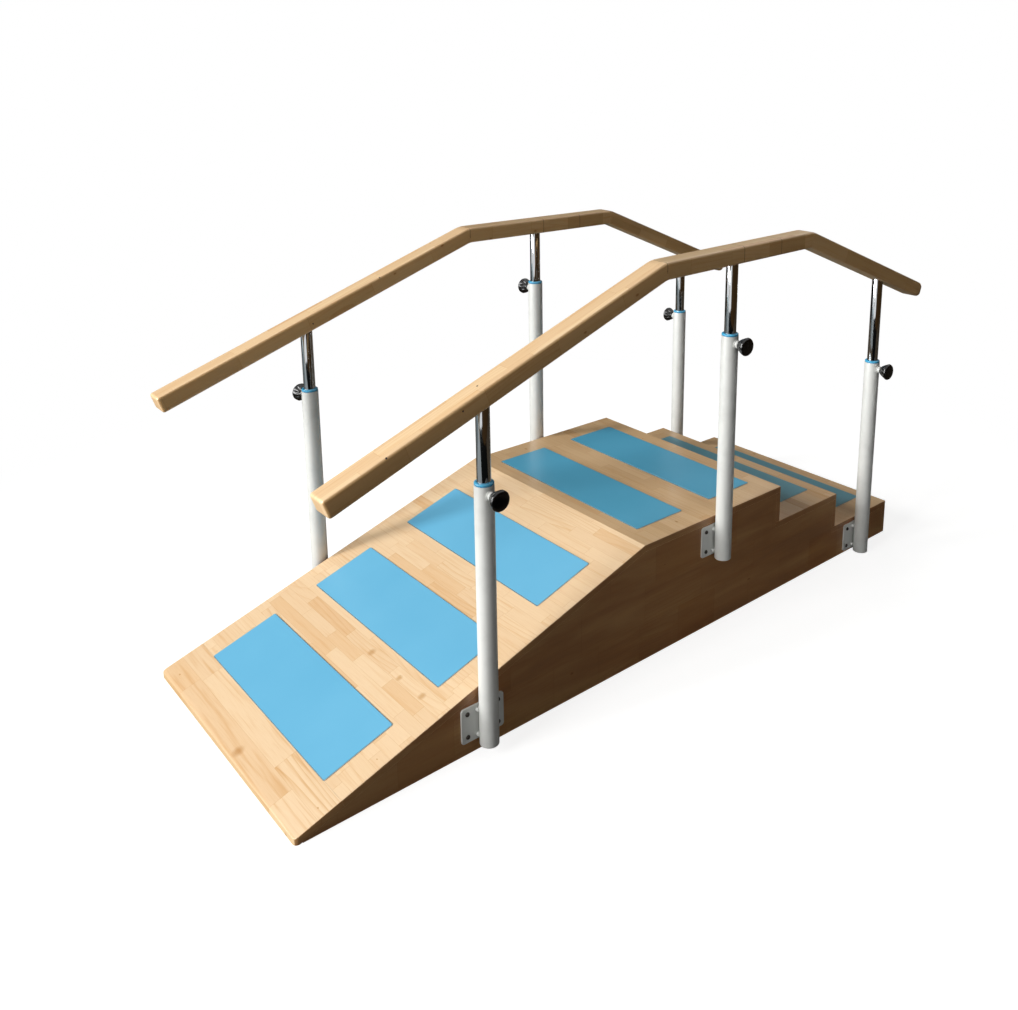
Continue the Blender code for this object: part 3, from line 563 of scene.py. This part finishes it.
screw = {
    "head": 0.0054, "dome": 0.0031, "washer": 0.0062, "washerThick": 0.0012, "sides": 24,
    "curve": ((0.25, 1.0), (0.6, 0.93), (0.86, 0.76), (1.0, 0.52)),  # shares of the dome and the head
    "recess": 0.0021, "recessDepth": 0.0018, "recessTaper": 0.92,
    "twist": 0.7,  # each screw is turned this much further than the last, as driven by hand
}


def screwMesh():
    # a domed socket-head screw on a washer, along +Z from the plate's face
    def hexagon(direction):
        turn = math.atan2(direction.y, direction.x) % (math.pi / 3)
        return 1 - math.cos(math.pi / 6) / math.cos(turn - math.pi / 6)
    thick, washer, head = screw["washerThick"], screw["washer"], screw["head"]
    crown = thick + screw["dome"]
    rings = [(0, washer, 0), (thick, washer, 0), (thick, head, 0)]
    rings += [(thick + screw["dome"] * up, head * share, 0) for up, share in screw["curve"]]
    floor = screw["recess"] * screw["recessTaper"]
    for down, radius in ((0, screw["recess"]), (screw["recessDepth"], floor)):
        rings.append((crown - down, radius, radius))
    return meshOf(stacked(rings, screw["sides"], hexagon), "screw", 40.0)


boss = {
    "radius": 0.011, "length": 0.0355, "down": 0.022, "fillet": 0.0012, "hole": 0.0043, "holeFrom": 0.026,
    "bead": ((0.0235, 0.0118), (0.0248, 0.0135), (0.0262, 0.0131), (0.0272, 0.0112)), "sides": 48,
}


def bossMesh():
    # the threaded boss, along +Z from the tube's axis, with the bead that joins it to the tube
    radius, length, fillet, hole = (boss[key] for key in ("radius", "length", "fillet", "hole"))
    rings = [*boss["bead"], (length - fillet, radius), (length, radius - fillet), (length, hole),
             (boss["holeFrom"], hole)]
    return meshOf(stacked(rings, boss["sides"]), "boss")


collar = {
    "inside": 0.0178, "skirt": 0.0227, "skirtLength": 0.040, "lip": 0.0245, "height": 0.0068,
    "gap": 0.0003,       # between the lip and the tube's end
    "lipRound": 0.0042,  # how far the full round edge reaches in
    "ease": 0.0012, "steps": 96,
}


def collarMesh():
    # a lip with a full round edge that sits on the tube, and a skirt inside it
    inside, ease, top = collar["inside"], collar["ease"], collar["gap"] + collar["height"]
    profile = [(inside, -collar["skirtLength"]), (collar["skirt"], -collar["skirtLength"]),
               (collar["skirt"], collar["gap"])]
    for degrees in range(-80, 91, 17):
        turn = math.radians(degrees)
        across = collar["lip"] - collar["lipRound"] + collar["lipRound"] * math.cos(turn)
        profile.append((across, collar["gap"] + collar["height"] / 2 * (1 + math.sin(turn))))
    profile += [(inside + ease, top), (inside, top - ease)]
    return meshOf(spun(profile, collar["steps"]), "collar", 50.0)


knob = {
    "neck": 0.0135, "rim": 0.027, "height": 0.033, "from": 0.0375, "ease": 0.0008, "sides": 120,
    "lobes": 10, "flute": 0.0026, "fluteShape": 1.6,
    "flare": (0.05, 0.72),  # where the skirt starts and ends to flare, as shares of the height
    "flareShape": 0.72, "flareSteps": 12,
    "cut": (0.8, 0.3),      # how soon the flutes are deepest, and the share of it that they end with
    # the rim, as a share of the height, how far it draws in, and a share of the flutes' depth
    "rimRings": ((0.78, 0.0, 0.24), (0.85, 0.0005, 0.12), (0.90, 0.0019, 0), (0.94, 0.0046, 0)),
    "domeFrom": 0.955, "domeIn": 0.006, "domeShare": 0.96, "domeSteps": 8,
}


def knobMesh():
    # a short neck, a skirt that flares in flutes to a long rim, and a low domed face
    def flute(direction):
        turn = math.atan2(direction.y, direction.x)
        return (0.5 - 0.5 * math.cos(knob["lobes"] * turn)) ** knob["fluteShape"]
    neck, rim, tall, deep = knob["neck"], knob["rim"], knob["height"], knob["flute"]
    low, high = knob["flare"]
    soon, left = knob["cut"]
    rings = [(0.0, neck - knob["ease"], 0), (knob["ease"], neck, 0), (tall * low, neck, 0)]
    for step in range(1, knob["flareSteps"] + 1):
        t = step / knob["flareSteps"]
        cut = deep * math.sin(math.pi * t ** soon) + deep * left * t
        rings.append((tall * (low + (high - low) * t), neck + (rim - neck) * t ** knob["flareShape"], cut))
    rings += [(tall * up, rim - drawnIn, deep * share) for up, drawnIn, share in knob["rimRings"]]
    for step in range(1, knob["domeSteps"] + 1):
        t = step / knob["domeSteps"]
        up = knob["domeFrom"] + (1 - knob["domeFrom"]) * math.sin(math.pi / 2 * t)
        rings.append((tall * up, (rim - knob["domeIn"]) * (1 - t * knob["domeShare"]), 0))
    raised = [(z + knob["from"], radius, cut) for z, radius, cut in rings]
    return meshOf(stacked(raised, knob["sides"], flute), "knob", 50.0)


stud = {"from": 0.0178, "to": 0.0455, "radius": 0.0039, "pitch": 0.00125, "depth": 0.00065, "sides": 24}


def studMesh():
    # an M8 thread, drawn as ridges a pitch apart
    pitch, root = stud["pitch"], stud["radius"] - stud["depth"]
    rings = [(stud["from"], root)]
    for index in range(int((stud["to"] - stud["from"]) / pitch)):
        low = stud["from"] + pitch * index
        rings += [(low + pitch * 0.5, stud["radius"]), (low + pitch, root)]
    return meshOf(stacked(rings, stud["sides"]), "stud", 20.0)


plug = {
    "radius": 0.0243, "bore": 0.0227, "up": 0.010, "dome": 0.0012, "step": 0.0004, "sides": 48,
    "domeRings": ((1.0, 0.016), (0.6, 0.0215)),  # a share of the dome, and the radius there
}


def plugMesh():
    # the plug that closes a post's foot
    rings = [(-plug["dome"] * share, radius) for share, radius in plug["domeRings"]]
    rings += [(0.0, plug["radius"]), (plug["step"], plug["bore"]), (plug["up"], plug["bore"])]
    return meshOf(stacked(rings, plug["sides"]), "plug", 40.0)


innerTube = {"outside": 0.0175, "wall": 0.0015, "length": 0.522, "edge": 0.0004, "steps": 64}
outward = Matrix.Rotation(math.pi / 2, 4, "X")  # turns +Z to the near side's outward -Y
shared = {
    "tube": tubeMesh(**postTube), "flange": flangeMesh(), "weld": weldMesh(), "screw": screwMesh(),
    "boss": bossMesh(), "collar": collarMesh(), "knob": knobMesh(), "stud": studMesh(), "plug": plugMesh(),
    "inner": tubeMesh(**innerTube),
}


def addPost(side, name):
    # one post: everything is placed from its CAD node's box
    prefix = side + "_" + name
    low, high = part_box(prefix + "_collar")
    axis = (low + high) / 2
    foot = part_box(prefix + "_post")[0].z
    turn = Matrix.Rotation(0.0 if side == "near" else math.pi, 4, "Z")
    at = Matrix.Translation((axis.x, axis.y, foot)) @ turn
    top = at @ Matrix.Translation((0, 0, postTube["length"]))
    clamp = top @ Matrix.Translation((0, 0, -boss["down"])) @ outward
    place(prefix + "_tube", shared["tube"], at, paint, rootBody, (prefix + "_post",))
    place(prefix + "_flange", shared["flange"], at, paint, rootBody)
    for mark, up in (("low", -flange["weldUp"]), ("high", flange["weldUp"])):
        bead = Matrix.Translation((0, flange["behind"] - weld["inFront"], flange["middleUp"] + up))
        bead = at @ bead @ Matrix.Rotation(math.pi / 2, 4, "Y")
        place(prefix + "_weld_" + mark, shared["weld"], bead, paint, rootBody)
    across, up = flange["screws"]
    face = flange["behind"] - flange["size"][1] / 2
    corners = ((-across / 2, -up / 2), (-across / 2, up / 2), (across / 2, -up / 2), (across / 2, up / 2))
    for count, (x, z) in enumerate(corners, 1):
        driven = Matrix.Rotation(screw["twist"] * count, 4, "Z")
        seat = at @ Matrix.Translation((x, face, flange["middleUp"] + z)) @ outward @ driven
        place(f"{prefix}_screw_{count}", shared["screw"], seat, darkScrew, rootBody)
    place(prefix + "_boss", shared["boss"], clamp, paint, rootBody)
    place(prefix + "_foot_plug", shared["plug"], at, plugGrey, rootBody)
    place(prefix + "_collar_bush", shared["collar"], top, collarBlue, rootBody,
          (prefix + "_collar",))
    place(prefix + "_stud", shared["stud"], clamp, zinc, prefix + "_stud",
          (prefix + "_clamp_stud",))
    place(prefix + "_handknob", shared["knob"], clamp, knobBlack, prefix + "_handknob",
          (prefix + "_knob",))
    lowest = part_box(prefix + "_inner_tube")[0].z
    hung = Matrix.Translation((axis.x, axis.y, lowest))
    place(prefix + "_chromed_tube", shared["inner"], hung, chromed, side + "_handrail",
          (prefix + "_inner_tube",))
    repaint(prefix + "_guide_bush", bushNylon)


for side in sides:
    for name in posts:
        addPost(side, name)
print("posts dressed")

# Handrails

rail = {
    "width": 0.062, "depth": 0.049, "rounding": 0.0075, "leastRounding": 0.0004,
    "seam": 0.0005, "gap": 0.00015,  # each mitred end is eased this much, and set back this much
    "top": 1.197,                   # the near rail's top at its platform post
    "pivot": 1.385, "bends": (1.085, 1.723), "end": 2.371,
    "angles": (19.3, 22.6),         # how far the bar turns at its two bends
    "bendRadii": (0.085, 0.05),     # of the bar's middle line, so that the bends look worn soft
    "lowEnd": (0.008, 0.008),       # how far the free ends are rounded, across the bar and through its depth
    "highEnd": (0.009, 0.022),
}
railSides = {
    "near": {"lean": 0.9, "drop": 0.0, "start": 0.082},
    "far": {"lean": -0.4, "drop": 0.032, "start": 0.055},
}
# the grain's pitch, between the two sides'
railMiddles = {"ramp": 19.55, "platform": 0.25, "stair": -22.35}


def railBeech(name, pitch, seed):
    # the same beech with its grain along the bar, one stave deep and two wide
    pitch = math.radians(pitch)
    along = (math.cos(pitch), 0, math.sin(pitch))
    look = {
        **boardLook, "alongTop": along, "alongSide": along, "acrossTop": (0, 1, 0),
        "acrossSide": (-math.sin(pitch), 0, math.cos(pitch)), "turnFrom": 0.45, "turnTo": 0.8,
        "stave": 0.031, "staveSide": 0.21, "block": 0.26, "seed": seed, "rough": 0.34, "coat": 0.3,
        "sideDriver": "Tone",
        "top": ((0.0, "#eac69a"), (0.4, "#f0cea2"), (1.0, "#f6d7ac")),
        # the sides' colour: the same beech darkened as painted shade
        "side": ((0.0, "#c99f6a"), (0.5, "#d3a973"), (1.0, "#dbb27d")),
        "joints": (-0.0895, 0.2207, 0.3875) if name.endswith("PlatformRail") else (),
    }
    return beech(name, look)


def upNormal(angle):
    return Vector((-math.sin(angle), 0, math.cos(angle)))


def railStations(side):
    # the bar's middle line as places with a pitch, split in three where the lengths are mitred
    own = railSides[side]
    lean = math.radians(own["lean"])
    angles = [math.radians(angle) for angle in rail["angles"]]
    pitches = (angles[0] + lean, lean, lean - angles[1])
    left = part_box("ramp_toe_board")[0].x
    first, second = rail["bends"]
    middleTop = rail["top"] - own["drop"]
    firstTop = middleTop - math.tan(lean) * (rail["pivot"] - first)
    secondTop = middleTop + math.tan(lean) * (second - rail["pivot"])
    lowTop = firstTop - math.tan(pitches[0]) * (first - own["start"])
    endTop = secondTop + math.tan(pitches[2]) * (rail["end"] - second)
    half = rail["depth"] / 2
    lines = [[(Vector((left + own["start"], 0, lowTop)) - half * upNormal(pitches[0]), pitches[0])]]
    for index, (u, top) in enumerate(((first, firstTop), (second, secondTop))):
        before, after = pitches[index], pitches[index + 1]
        middle = (before + after) / 2
        slant = math.cos((before - after) / 2)
        radius = rail["bendRadii"][index]
        centre = Vector((left + u, 0, top)) - (half + radius) / slant * upNormal(middle)
        steps = 4
        entering = [before + (middle - before) * k / steps for k in range(steps + 1)]
        leaving = [middle + (after - middle) * k / steps for k in range(steps + 1)]
        lines[-1] += [(centre + radius * upNormal(angle), angle) for angle in entering]
        lines.append([(centre + radius * upNormal(angle), angle) for angle in leaving])
    lines[-1].append((Vector((left + rail["end"], 0, endTop)) - half * upNormal(pitches[2]), pitches[2]))
    return lines


def barSection(insetWide, insetDeep):
    # the bar's rounded outline, drawn in at its sides and at top and bottom: places across and up
    halfWide, halfDeep = rail["width"] / 2 - insetWide, rail["depth"] / 2 - insetDeep
    radius = max(rail["rounding"] - min(insetWide, insetDeep), rail["leastRounding"])
    radius = min(radius, halfDeep * 0.98)
    halfWide -= radius
    halfDeep -= radius
    outline = []
    for quarter, (x, z) in enumerate(((1, 1), (-1, 1), (-1, -1), (1, -1))):
        for step in range(7):
            turn = math.radians(90 * quarter + 15 * step)
            outline.append((x * halfWide + radius * math.cos(turn), z * halfDeep + radius * math.sin(turn)))
    return outline


def endShapes(station, toward, wide, deep, gap):
    # the outline's places over an end's rounding, from the bar's full section out to its face
    point, angle = station
    along = toward * Vector((math.cos(angle), 0, math.sin(angle)))
    shapes = []
    for step in range(10):
        turn = math.pi / 2 * step / 9
        back = deep * (1 - math.sin(turn))
        lack = max(wide - back, 0.0)
        insets = (wide - math.sqrt(wide * wide - lack * lack), deep * (1 - math.cos(turn)))
        shapes.append((point + (back + gap) * along, angle, insets))
    return shapes


def railMesh(stations, freeStart, freeEnd):
    # the bar's outline grown from one end to the other, with soft free ends and fine mitre seams
    mitre = (rail["seam"], rail["seam"], rail["gap"])
    low = (*rail["lowEnd"], 0) if freeStart else mitre
    high = (*rail["highEnd"], 0) if freeEnd else mitre
    shapes = endShapes(stations[0], 1, *low)[::-1]
    shapes += [(point, angle, (0.0, 0.0)) for point, angle in stations[1:-1]]
    shapes += endShapes(stations[-1], -1, *high)
    bm = bmesh.new()
    face = None
    for point, angle, insets in shapes:
        up = upNormal(angle)
        outline = [point + z * up + Vector((0, y, 0)) for y, z in barSection(*insets)]
        if face:
            face = growFace(bm, face, keepUnder=len(bm.faces) == 1)
            for vert, spot in zip(face.verts, outline):
                vert.co = spot
        else:
            face = bm.faces.new([bm.verts.new(spot) for spot in outline])
    return meshOf(bm, "rail", 40.0)


railWood = {}
for index, name in enumerate(posts):
    railWood[name] = railBeech("lacqueredBeech" + name.title() + "Rail", railMiddles[name], 31.0 + 7 * index)
for side in sides:
    stations = railStations(side)
    for index, name in enumerate(posts):
        node = f"{side}_{name}_rail"
        low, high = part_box(node)
        at = Matrix.Translation((0, (low.y + high.y) / 2, 0))
        mesh = railMesh(stations[index], index == 0, index == 2)
        place(f"{side}_{name}_handrail_bar", mesh, at, railWood[name], side + "_handrail",
              (node,))

# small dark fixings: the length, how far along from the toe, its face, and how far down from the top
fixing = {"radius": 0.0023, "proud": 0.0003, "deep": 0.0012, "headShare": 0.8, "sides": 20}
railFixings = (("near", "ramp", 0.5063, "top", 0.0), ("near", "ramp", 0.4395, "side", 0.0148),
               ("near", "ramp", 0.245, "edge", 0.0), ("far", "ramp", 0.5183, "side", 0.0287),
               ("far", "ramp", 0.7565, "edge", 0.0))
fixingRings = ((-fixing["deep"], fixing["radius"]), (fixing["proud"] * 0.5, fixing["radius"]),
               (fixing["proud"], fixing["radius"] * fixing["headShare"]))
fixingMesh = meshOf(stacked(fixingRings, fixing["sides"]), "fixing")
for count, (side, name, u, face, down) in enumerate(railFixings):
    stations = railStations(side)[posts.index(name)]
    point, pitch = stations[0]
    low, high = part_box(f"{side}_{name}_rail")
    up = upNormal(pitch)
    along = Vector((math.cos(pitch), 0, math.sin(pitch)))
    middle = point + along * ((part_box("ramp_toe_board")[0].x + u - point.x) / math.cos(pitch))
    halfWide, halfDeep, rounding = rail["width"] / 2, rail["depth"] / 2, rail["rounding"]
    lean = {"top": 0.0, "edge": math.pi / 4, "side": math.pi / 2}[face]
    out, above = {
        "top": (0.0, halfDeep),
        "edge": (halfWide - rounding * (1 - math.sin(lean)), halfDeep - rounding * (1 - math.cos(lean))),
        "side": (halfWide, halfDeep - down),
    }[face]
    normal = up * math.cos(lean) + Vector((0, -math.sin(lean), 0))
    seat = Matrix.Translation(Vector((0, (low.y + high.y) / 2 - out, 0)) + middle + up * above)
    seat = seat @ normal.to_track_quat("Z", "Y").to_matrix().to_4x4()
    place(f"{side}_{name}_rail_fixing_{count}", fixingMesh, seat, darkScrew, side + "_handrail")
print("handrails made")

# The ramp's toe

toeBoard = {"run": 0.118, "heel": 0.0125, "under": 0.0356, "corner": 0.0115, "edge": 0.0022}


def toeMesh():
    # the tapered board at the ramp's foot, its front corners rounded so that no heel catches on them
    low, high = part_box("ramp_toe_board")
    seam = low.x + toeBoard["run"]
    lip = high.z - toeBoard["run"] * math.tan(rampPitch)
    heel = low.x + toeBoard["heel"]
    profile = ((low.x, 0), (low.x, lip), (seam, high.z), (high.x, toeBoard["under"]), (heel, 0))
    bm = bmesh.new()
    face = bm.faces.new([bm.verts.new((x, low.y, z)) for x, z in profile])
    face = growFace(bm, face, keepUnder=True)
    bmesh.ops.translate(bm, vec=(0, high.y - low.y, 0), verts=list(face.verts))
    soften(bm, [e for e in edgesAlong(bm, 2) if e.verts[0].co.x < low.x + 1e-6], toeBoard["corner"], 8)
    bmesh.ops.recalc_face_normals(bm, faces=bm.faces)
    top = max(bm.faces, key=lambda face: face.normal.z * face.calc_area())
    rims = [e for e in top.edges if not all(abs(v.co.x - seam) < 1e-5 for v in e.verts)]
    soften(bm, rims, toeBoard["edge"], 3)
    return meshOf(bm, "toe", 18.0)


place("ramp_toe_board_rounded", toeMesh(), Matrix.Identity(4), toeBeech, rootBody,
      ("ramp_toe_board",))
print("toe rounded")

# Pads

pad = {
    "thick": 0.002, "corner": 0.003, "edge": 0.0004,
    "bead": 0.0016, "beadUp": 0.0013, "beadEdge": 0.0004,
    "beadClear": 0.0001,  # how far the bead's inner wall stays outside the pad
}
padNames = ("ramp_pad_low", "ramp_pad_middle", "ramp_pad_high", "platform_pad_front", "platform_pad_rear",
            "upper_tread_pad", "lower_tread_pad")


def padMesh(length, width):
    bm = block((length, width, pad["thick"]), (length / 2, 0, pad["thick"] / 2))
    soften(bm, edgesAlong(bm, 2), pad["corner"], 5)
    rims = [e for e in bm.edges if all(v.co.z > pad["thick"] - 1e-6 for v in e.verts)]
    soften(bm, rims, pad["edge"], 2)
    return meshOf(bm, "pad", 18.0)


def beadMesh(length, width):
    # a thin line of sealant round a pad
    out, up = pad["bead"], pad["beadUp"]
    bm = block((length + 2 * out, width + 2 * out, up), (length / 2, 0, up / 2))
    soften(bm, edgesAlong(bm, 2), pad["corner"] + out, 5)
    flat = [f for f in bm.faces if abs(f.normal.z) > 0.9]
    bmesh.ops.inset_region(bm, faces=flat, thickness=out - pad["beadClear"], use_even_offset=True)
    middle = [f for f in bm.faces if abs(f.normal.z) > 0.9 and f.calc_area() > 0.5 * length * width]
    bmesh.ops.bridge_loops(bm, edges=[e for f in middle for e in f.edges])
    bmesh.ops.delete(bm, geom=middle, context="FACES_ONLY")
    # the bevel needs faces that agree on which way is out
    bmesh.ops.recalc_face_normals(bm, faces=bm.faces)
    rims = [e for e in bm.edges if e.is_manifold and e.calc_face_angle(0) > 1.2
            and all(v.co.z > up - 1e-6 for v in e.verts)]
    soften(bm, rims, pad["beadEdge"], 2)
    return meshOf(bm, "bead", 18.0)


padVinyls = {"ramp": rampVinyl, "platform": shadedLevelVinyl, "upper": shadedTreadVinyl, "lower": shadedTreadVinyl}
for name in padNames:
    low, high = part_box(name)
    pitch = rampPitch if name.startswith("ramp") else 0.0
    lean = pad["thick"] * math.sin(pitch)
    length, width = (high.x - low.x - lean) / math.cos(pitch), high.y - low.y
    at = Matrix.Translation((low.x + lean, 0, low.z)) @ Matrix.Rotation(-pitch, 4, "Y")
    vinyl = padVinyls[name.split("_")[0]]
    place(name + "_sheet", padMesh(length, width), at, vinyl, rootBody, (name,))
    place(name + "_bead", beadMesh(length, width), at, sealant, rootBody)
print("pads laid")

# Floor, light and camera

studio = {
    "key": {"at": (-17.8, 9.1, 7.3), "aim": (0.0, 0.0, 0.4), "size": (4.4, 11.5), "watts": 3850.0},
    "window": {"at": (-20.0, 0.3, 8.6), "aim": (0.0, 0.0, 0.4), "size": (8.0, 14.0), "watts": 4080.0},
    "front": {"at": (-2.7, -7.5, 1.6), "aim": (0.4, -0.4, 0.6), "size": (3.0, 2.2), "watts": 44.0},
    # a narrow beam that lifts the shaded side panel
    "side": {"at": (-2.0, -9.0, 1.6), "aim": (0.6, -0.4, 0.3), "size": (1.6, 1.2), "watts": 0.65,
             "spread": 16.0},
    "rear": {"at": (9.6, 8.2, 1.5), "aim": (0.4, 0.0, 0.4), "size": (3.0, 2.0), "watts": 420.0},
    "fill": 0.06,
}


def whiteFor(tree):
    # 1 for the rays that should see plain white: the camera's, and those that gloss and glass send on
    path = addNode(tree, "ShaderNodeLightPath").outputs
    seen = {0: path["Is Camera Ray"], 1: path["Is Glossy Ray"]}
    either = addNode(tree, "ShaderNodeMath", {"operation": "MAXIMUM"}, seen)
    through = {0: either, 1: path["Is Transmission Ray"]}
    return addNode(tree, "ShaderNodeMath", {"operation": "MAXIMUM"}, through)


def addWorld():
    world = bpy.data.worlds.new("studioWorld")
    world.use_nodes = True
    bpy.context.scene.world = world
    tree = world.node_tree
    sky = tree.nodes["Background"]
    sky.inputs[0].default_value = (1, 1, 1, 1)
    sky.inputs[1].default_value = studio["fill"]
    white = addNode(tree, "ShaderNodeBackground", {0: (1, 1, 1, 1), 1: 1.0})
    mixed = addNode(tree, "ShaderNodeMixShader", None, {0: whiteFor(tree), 1: sky, 2: white})
    tree.links.new(mixed.outputs[0], tree.nodes["World Output"].inputs[0])


def addFloor():
    # pale and plain; for the camera it fades to white away from the object and keeps the shadow near it
    bm = bmesh.new()
    bmesh.ops.create_circle(bm, cap_ends=True, segments=64, radius=30.0)
    floor = bpy.data.objects.new("studioFloor", meshOf(bm, "studioFloor"))
    bpy.context.scene.collection.objects.link(floor)
    material = bpy.data.materials.new("paleFloor")
    material.use_nodes = True
    tree = material.node_tree
    tree.nodes.clear()
    spot = addNode(tree, "ShaderNodeTexCoord").outputs["Object"]
    far = addNode(tree, "ShaderNodeVectorMath", {"operation": "LENGTH"}, {0: spot}).outputs["Value"]
    fading = {1: 1.2, 2: 2.6, "interpolation_type": "SMOOTHSTEP"}
    fade = addNode(tree, "ShaderNodeMapRange", fading, {0: far})
    lit = addNode(tree, "ShaderNodeBsdfDiffuse", {0: linear("#a8a8a6")})
    glow = addNode(tree, "ShaderNodeEmission", {0: (1, 1, 1, 1), 1: 0.84})
    near = addNode(tree, "ShaderNodeAddShader", None, {0: lit, 1: glow})
    plain = addNode(tree, "ShaderNodeEmission", {0: (1, 1, 1, 1), 1: 1.0})
    seen = addNode(tree, "ShaderNodeMixShader", None, {0: fade, 1: near, 2: plain})
    bounce = addNode(tree, "ShaderNodeBsdfDiffuse", {0: linear("#5c5d5c")})
    both = addNode(tree, "ShaderNodeMixShader", None, {0: whiteFor(tree), 1: bounce, 2: seen})
    end = addNode(tree, "ShaderNodeOutputMaterial", None, {0: both})
    end.is_active_output = True
    floor.data.materials.append(material)


def addLamp(name, look):
    data = bpy.data.lights.new(name, "AREA")
    data.shape = "RECTANGLE"
    data.size, data.size_y = look["size"]
    data.energy = look["watts"]
    data.spread = math.radians(look.get("spread", 180.0))
    lamp = bpy.data.objects.new(name, data)
    lamp.location = look["at"]
    lamp.rotation_euler = (Vector(look["aim"]) - Vector(look["at"])).to_track_quat("-Z", "Y").to_euler()
    lamp.visible_glossy = name in ("keyLamp", "windowLamp")
    bpy.context.scene.collection.objects.link(lamp)


flags = {
    "frontFlag": {"at": (0.6, -5.4, 1.6), "size": (12.0, 0.01, 3.2), "cloth": "#45331f"},
    "rightFlag": {"at": (5.6, 0.0, 1.6), "size": (0.01, 10.0, 3.2), "cloth": "#45331f"},
    "backFlag": {"at": (1.0, 4.6, 3.6), "size": (10.6, 0.01, 7.2), "cloth": "#16130f"},
    "brownCloth": {"at": (5.0, 0.0, 0.0010), "size": (13.6, 20.0, 0.0004), "cloth": "#5f5447"},
    "blackCloth": {"at": (-4.2, -6.15, 0.0014), "size": (9.6, 9.7, 0.0004), "cloth": "#131414"},
    "lightCloth": {"at": (-12.4, 0.1, 0.0018), "size": (21.2, 2.8, 0.0004), "cloth": "#a2a8aa"},
    "slateCloth": {"at": (-12.4, 5.7, 0.0022), "size": (21.2, 8.4, 0.0004), "cloth": "#6f7779"},
}


def addFlag(name, look):
    # a card that only reflections see, as a photographer sets round chrome and lacquer
    flag = bpy.data.objects.new(name, meshOf(block(look["size"]), name))
    flag.location = look["at"]
    bpy.context.scene.collection.objects.link(flag)
    dull = {"Base Color": linear(look["cloth"]), "Roughness": 1.0, "Specular IOR Level": 0.0}
    flag.data.materials.append(newMaterial(name + "Cloth", dull)[0])
    flag.visible_camera = False
    flag.visible_diffuse = False
    flag.visible_shadow = False
    flag.visible_transmission = False


photoCamera = {"at": (-1.9609, -2.2858, 1.7241), "turn": (77.5053, -0.0822, -41.1769), "lens": 35.623,
               "shift": (-0.0748, -0.2230)}


def addCamera():
    data = bpy.data.cameras.new("photoCamera")
    data.lens = photoCamera["lens"]
    data.sensor_width = 36.0
    data.shift_x, data.shift_y = photoCamera["shift"]
    camera = bpy.data.objects.new("photoCamera", data)
    camera.location = photoCamera["at"]
    camera.rotation_euler = [math.radians(angle) for angle in photoCamera["turn"]]
    bpy.context.scene.collection.objects.link(camera)
    bpy.context.scene.camera = camera


addWorld()
addFloor()
for lampName in ("key", "window", "front", "side", "rear"):
    addLamp(lampName + "Lamp", studio[lampName])
for flagName, flagLook in flags.items():
    addFlag(flagName, flagLook)
addCamera()
bpy.context.scene.view_settings.view_transform = "Standard"
print("studio set")
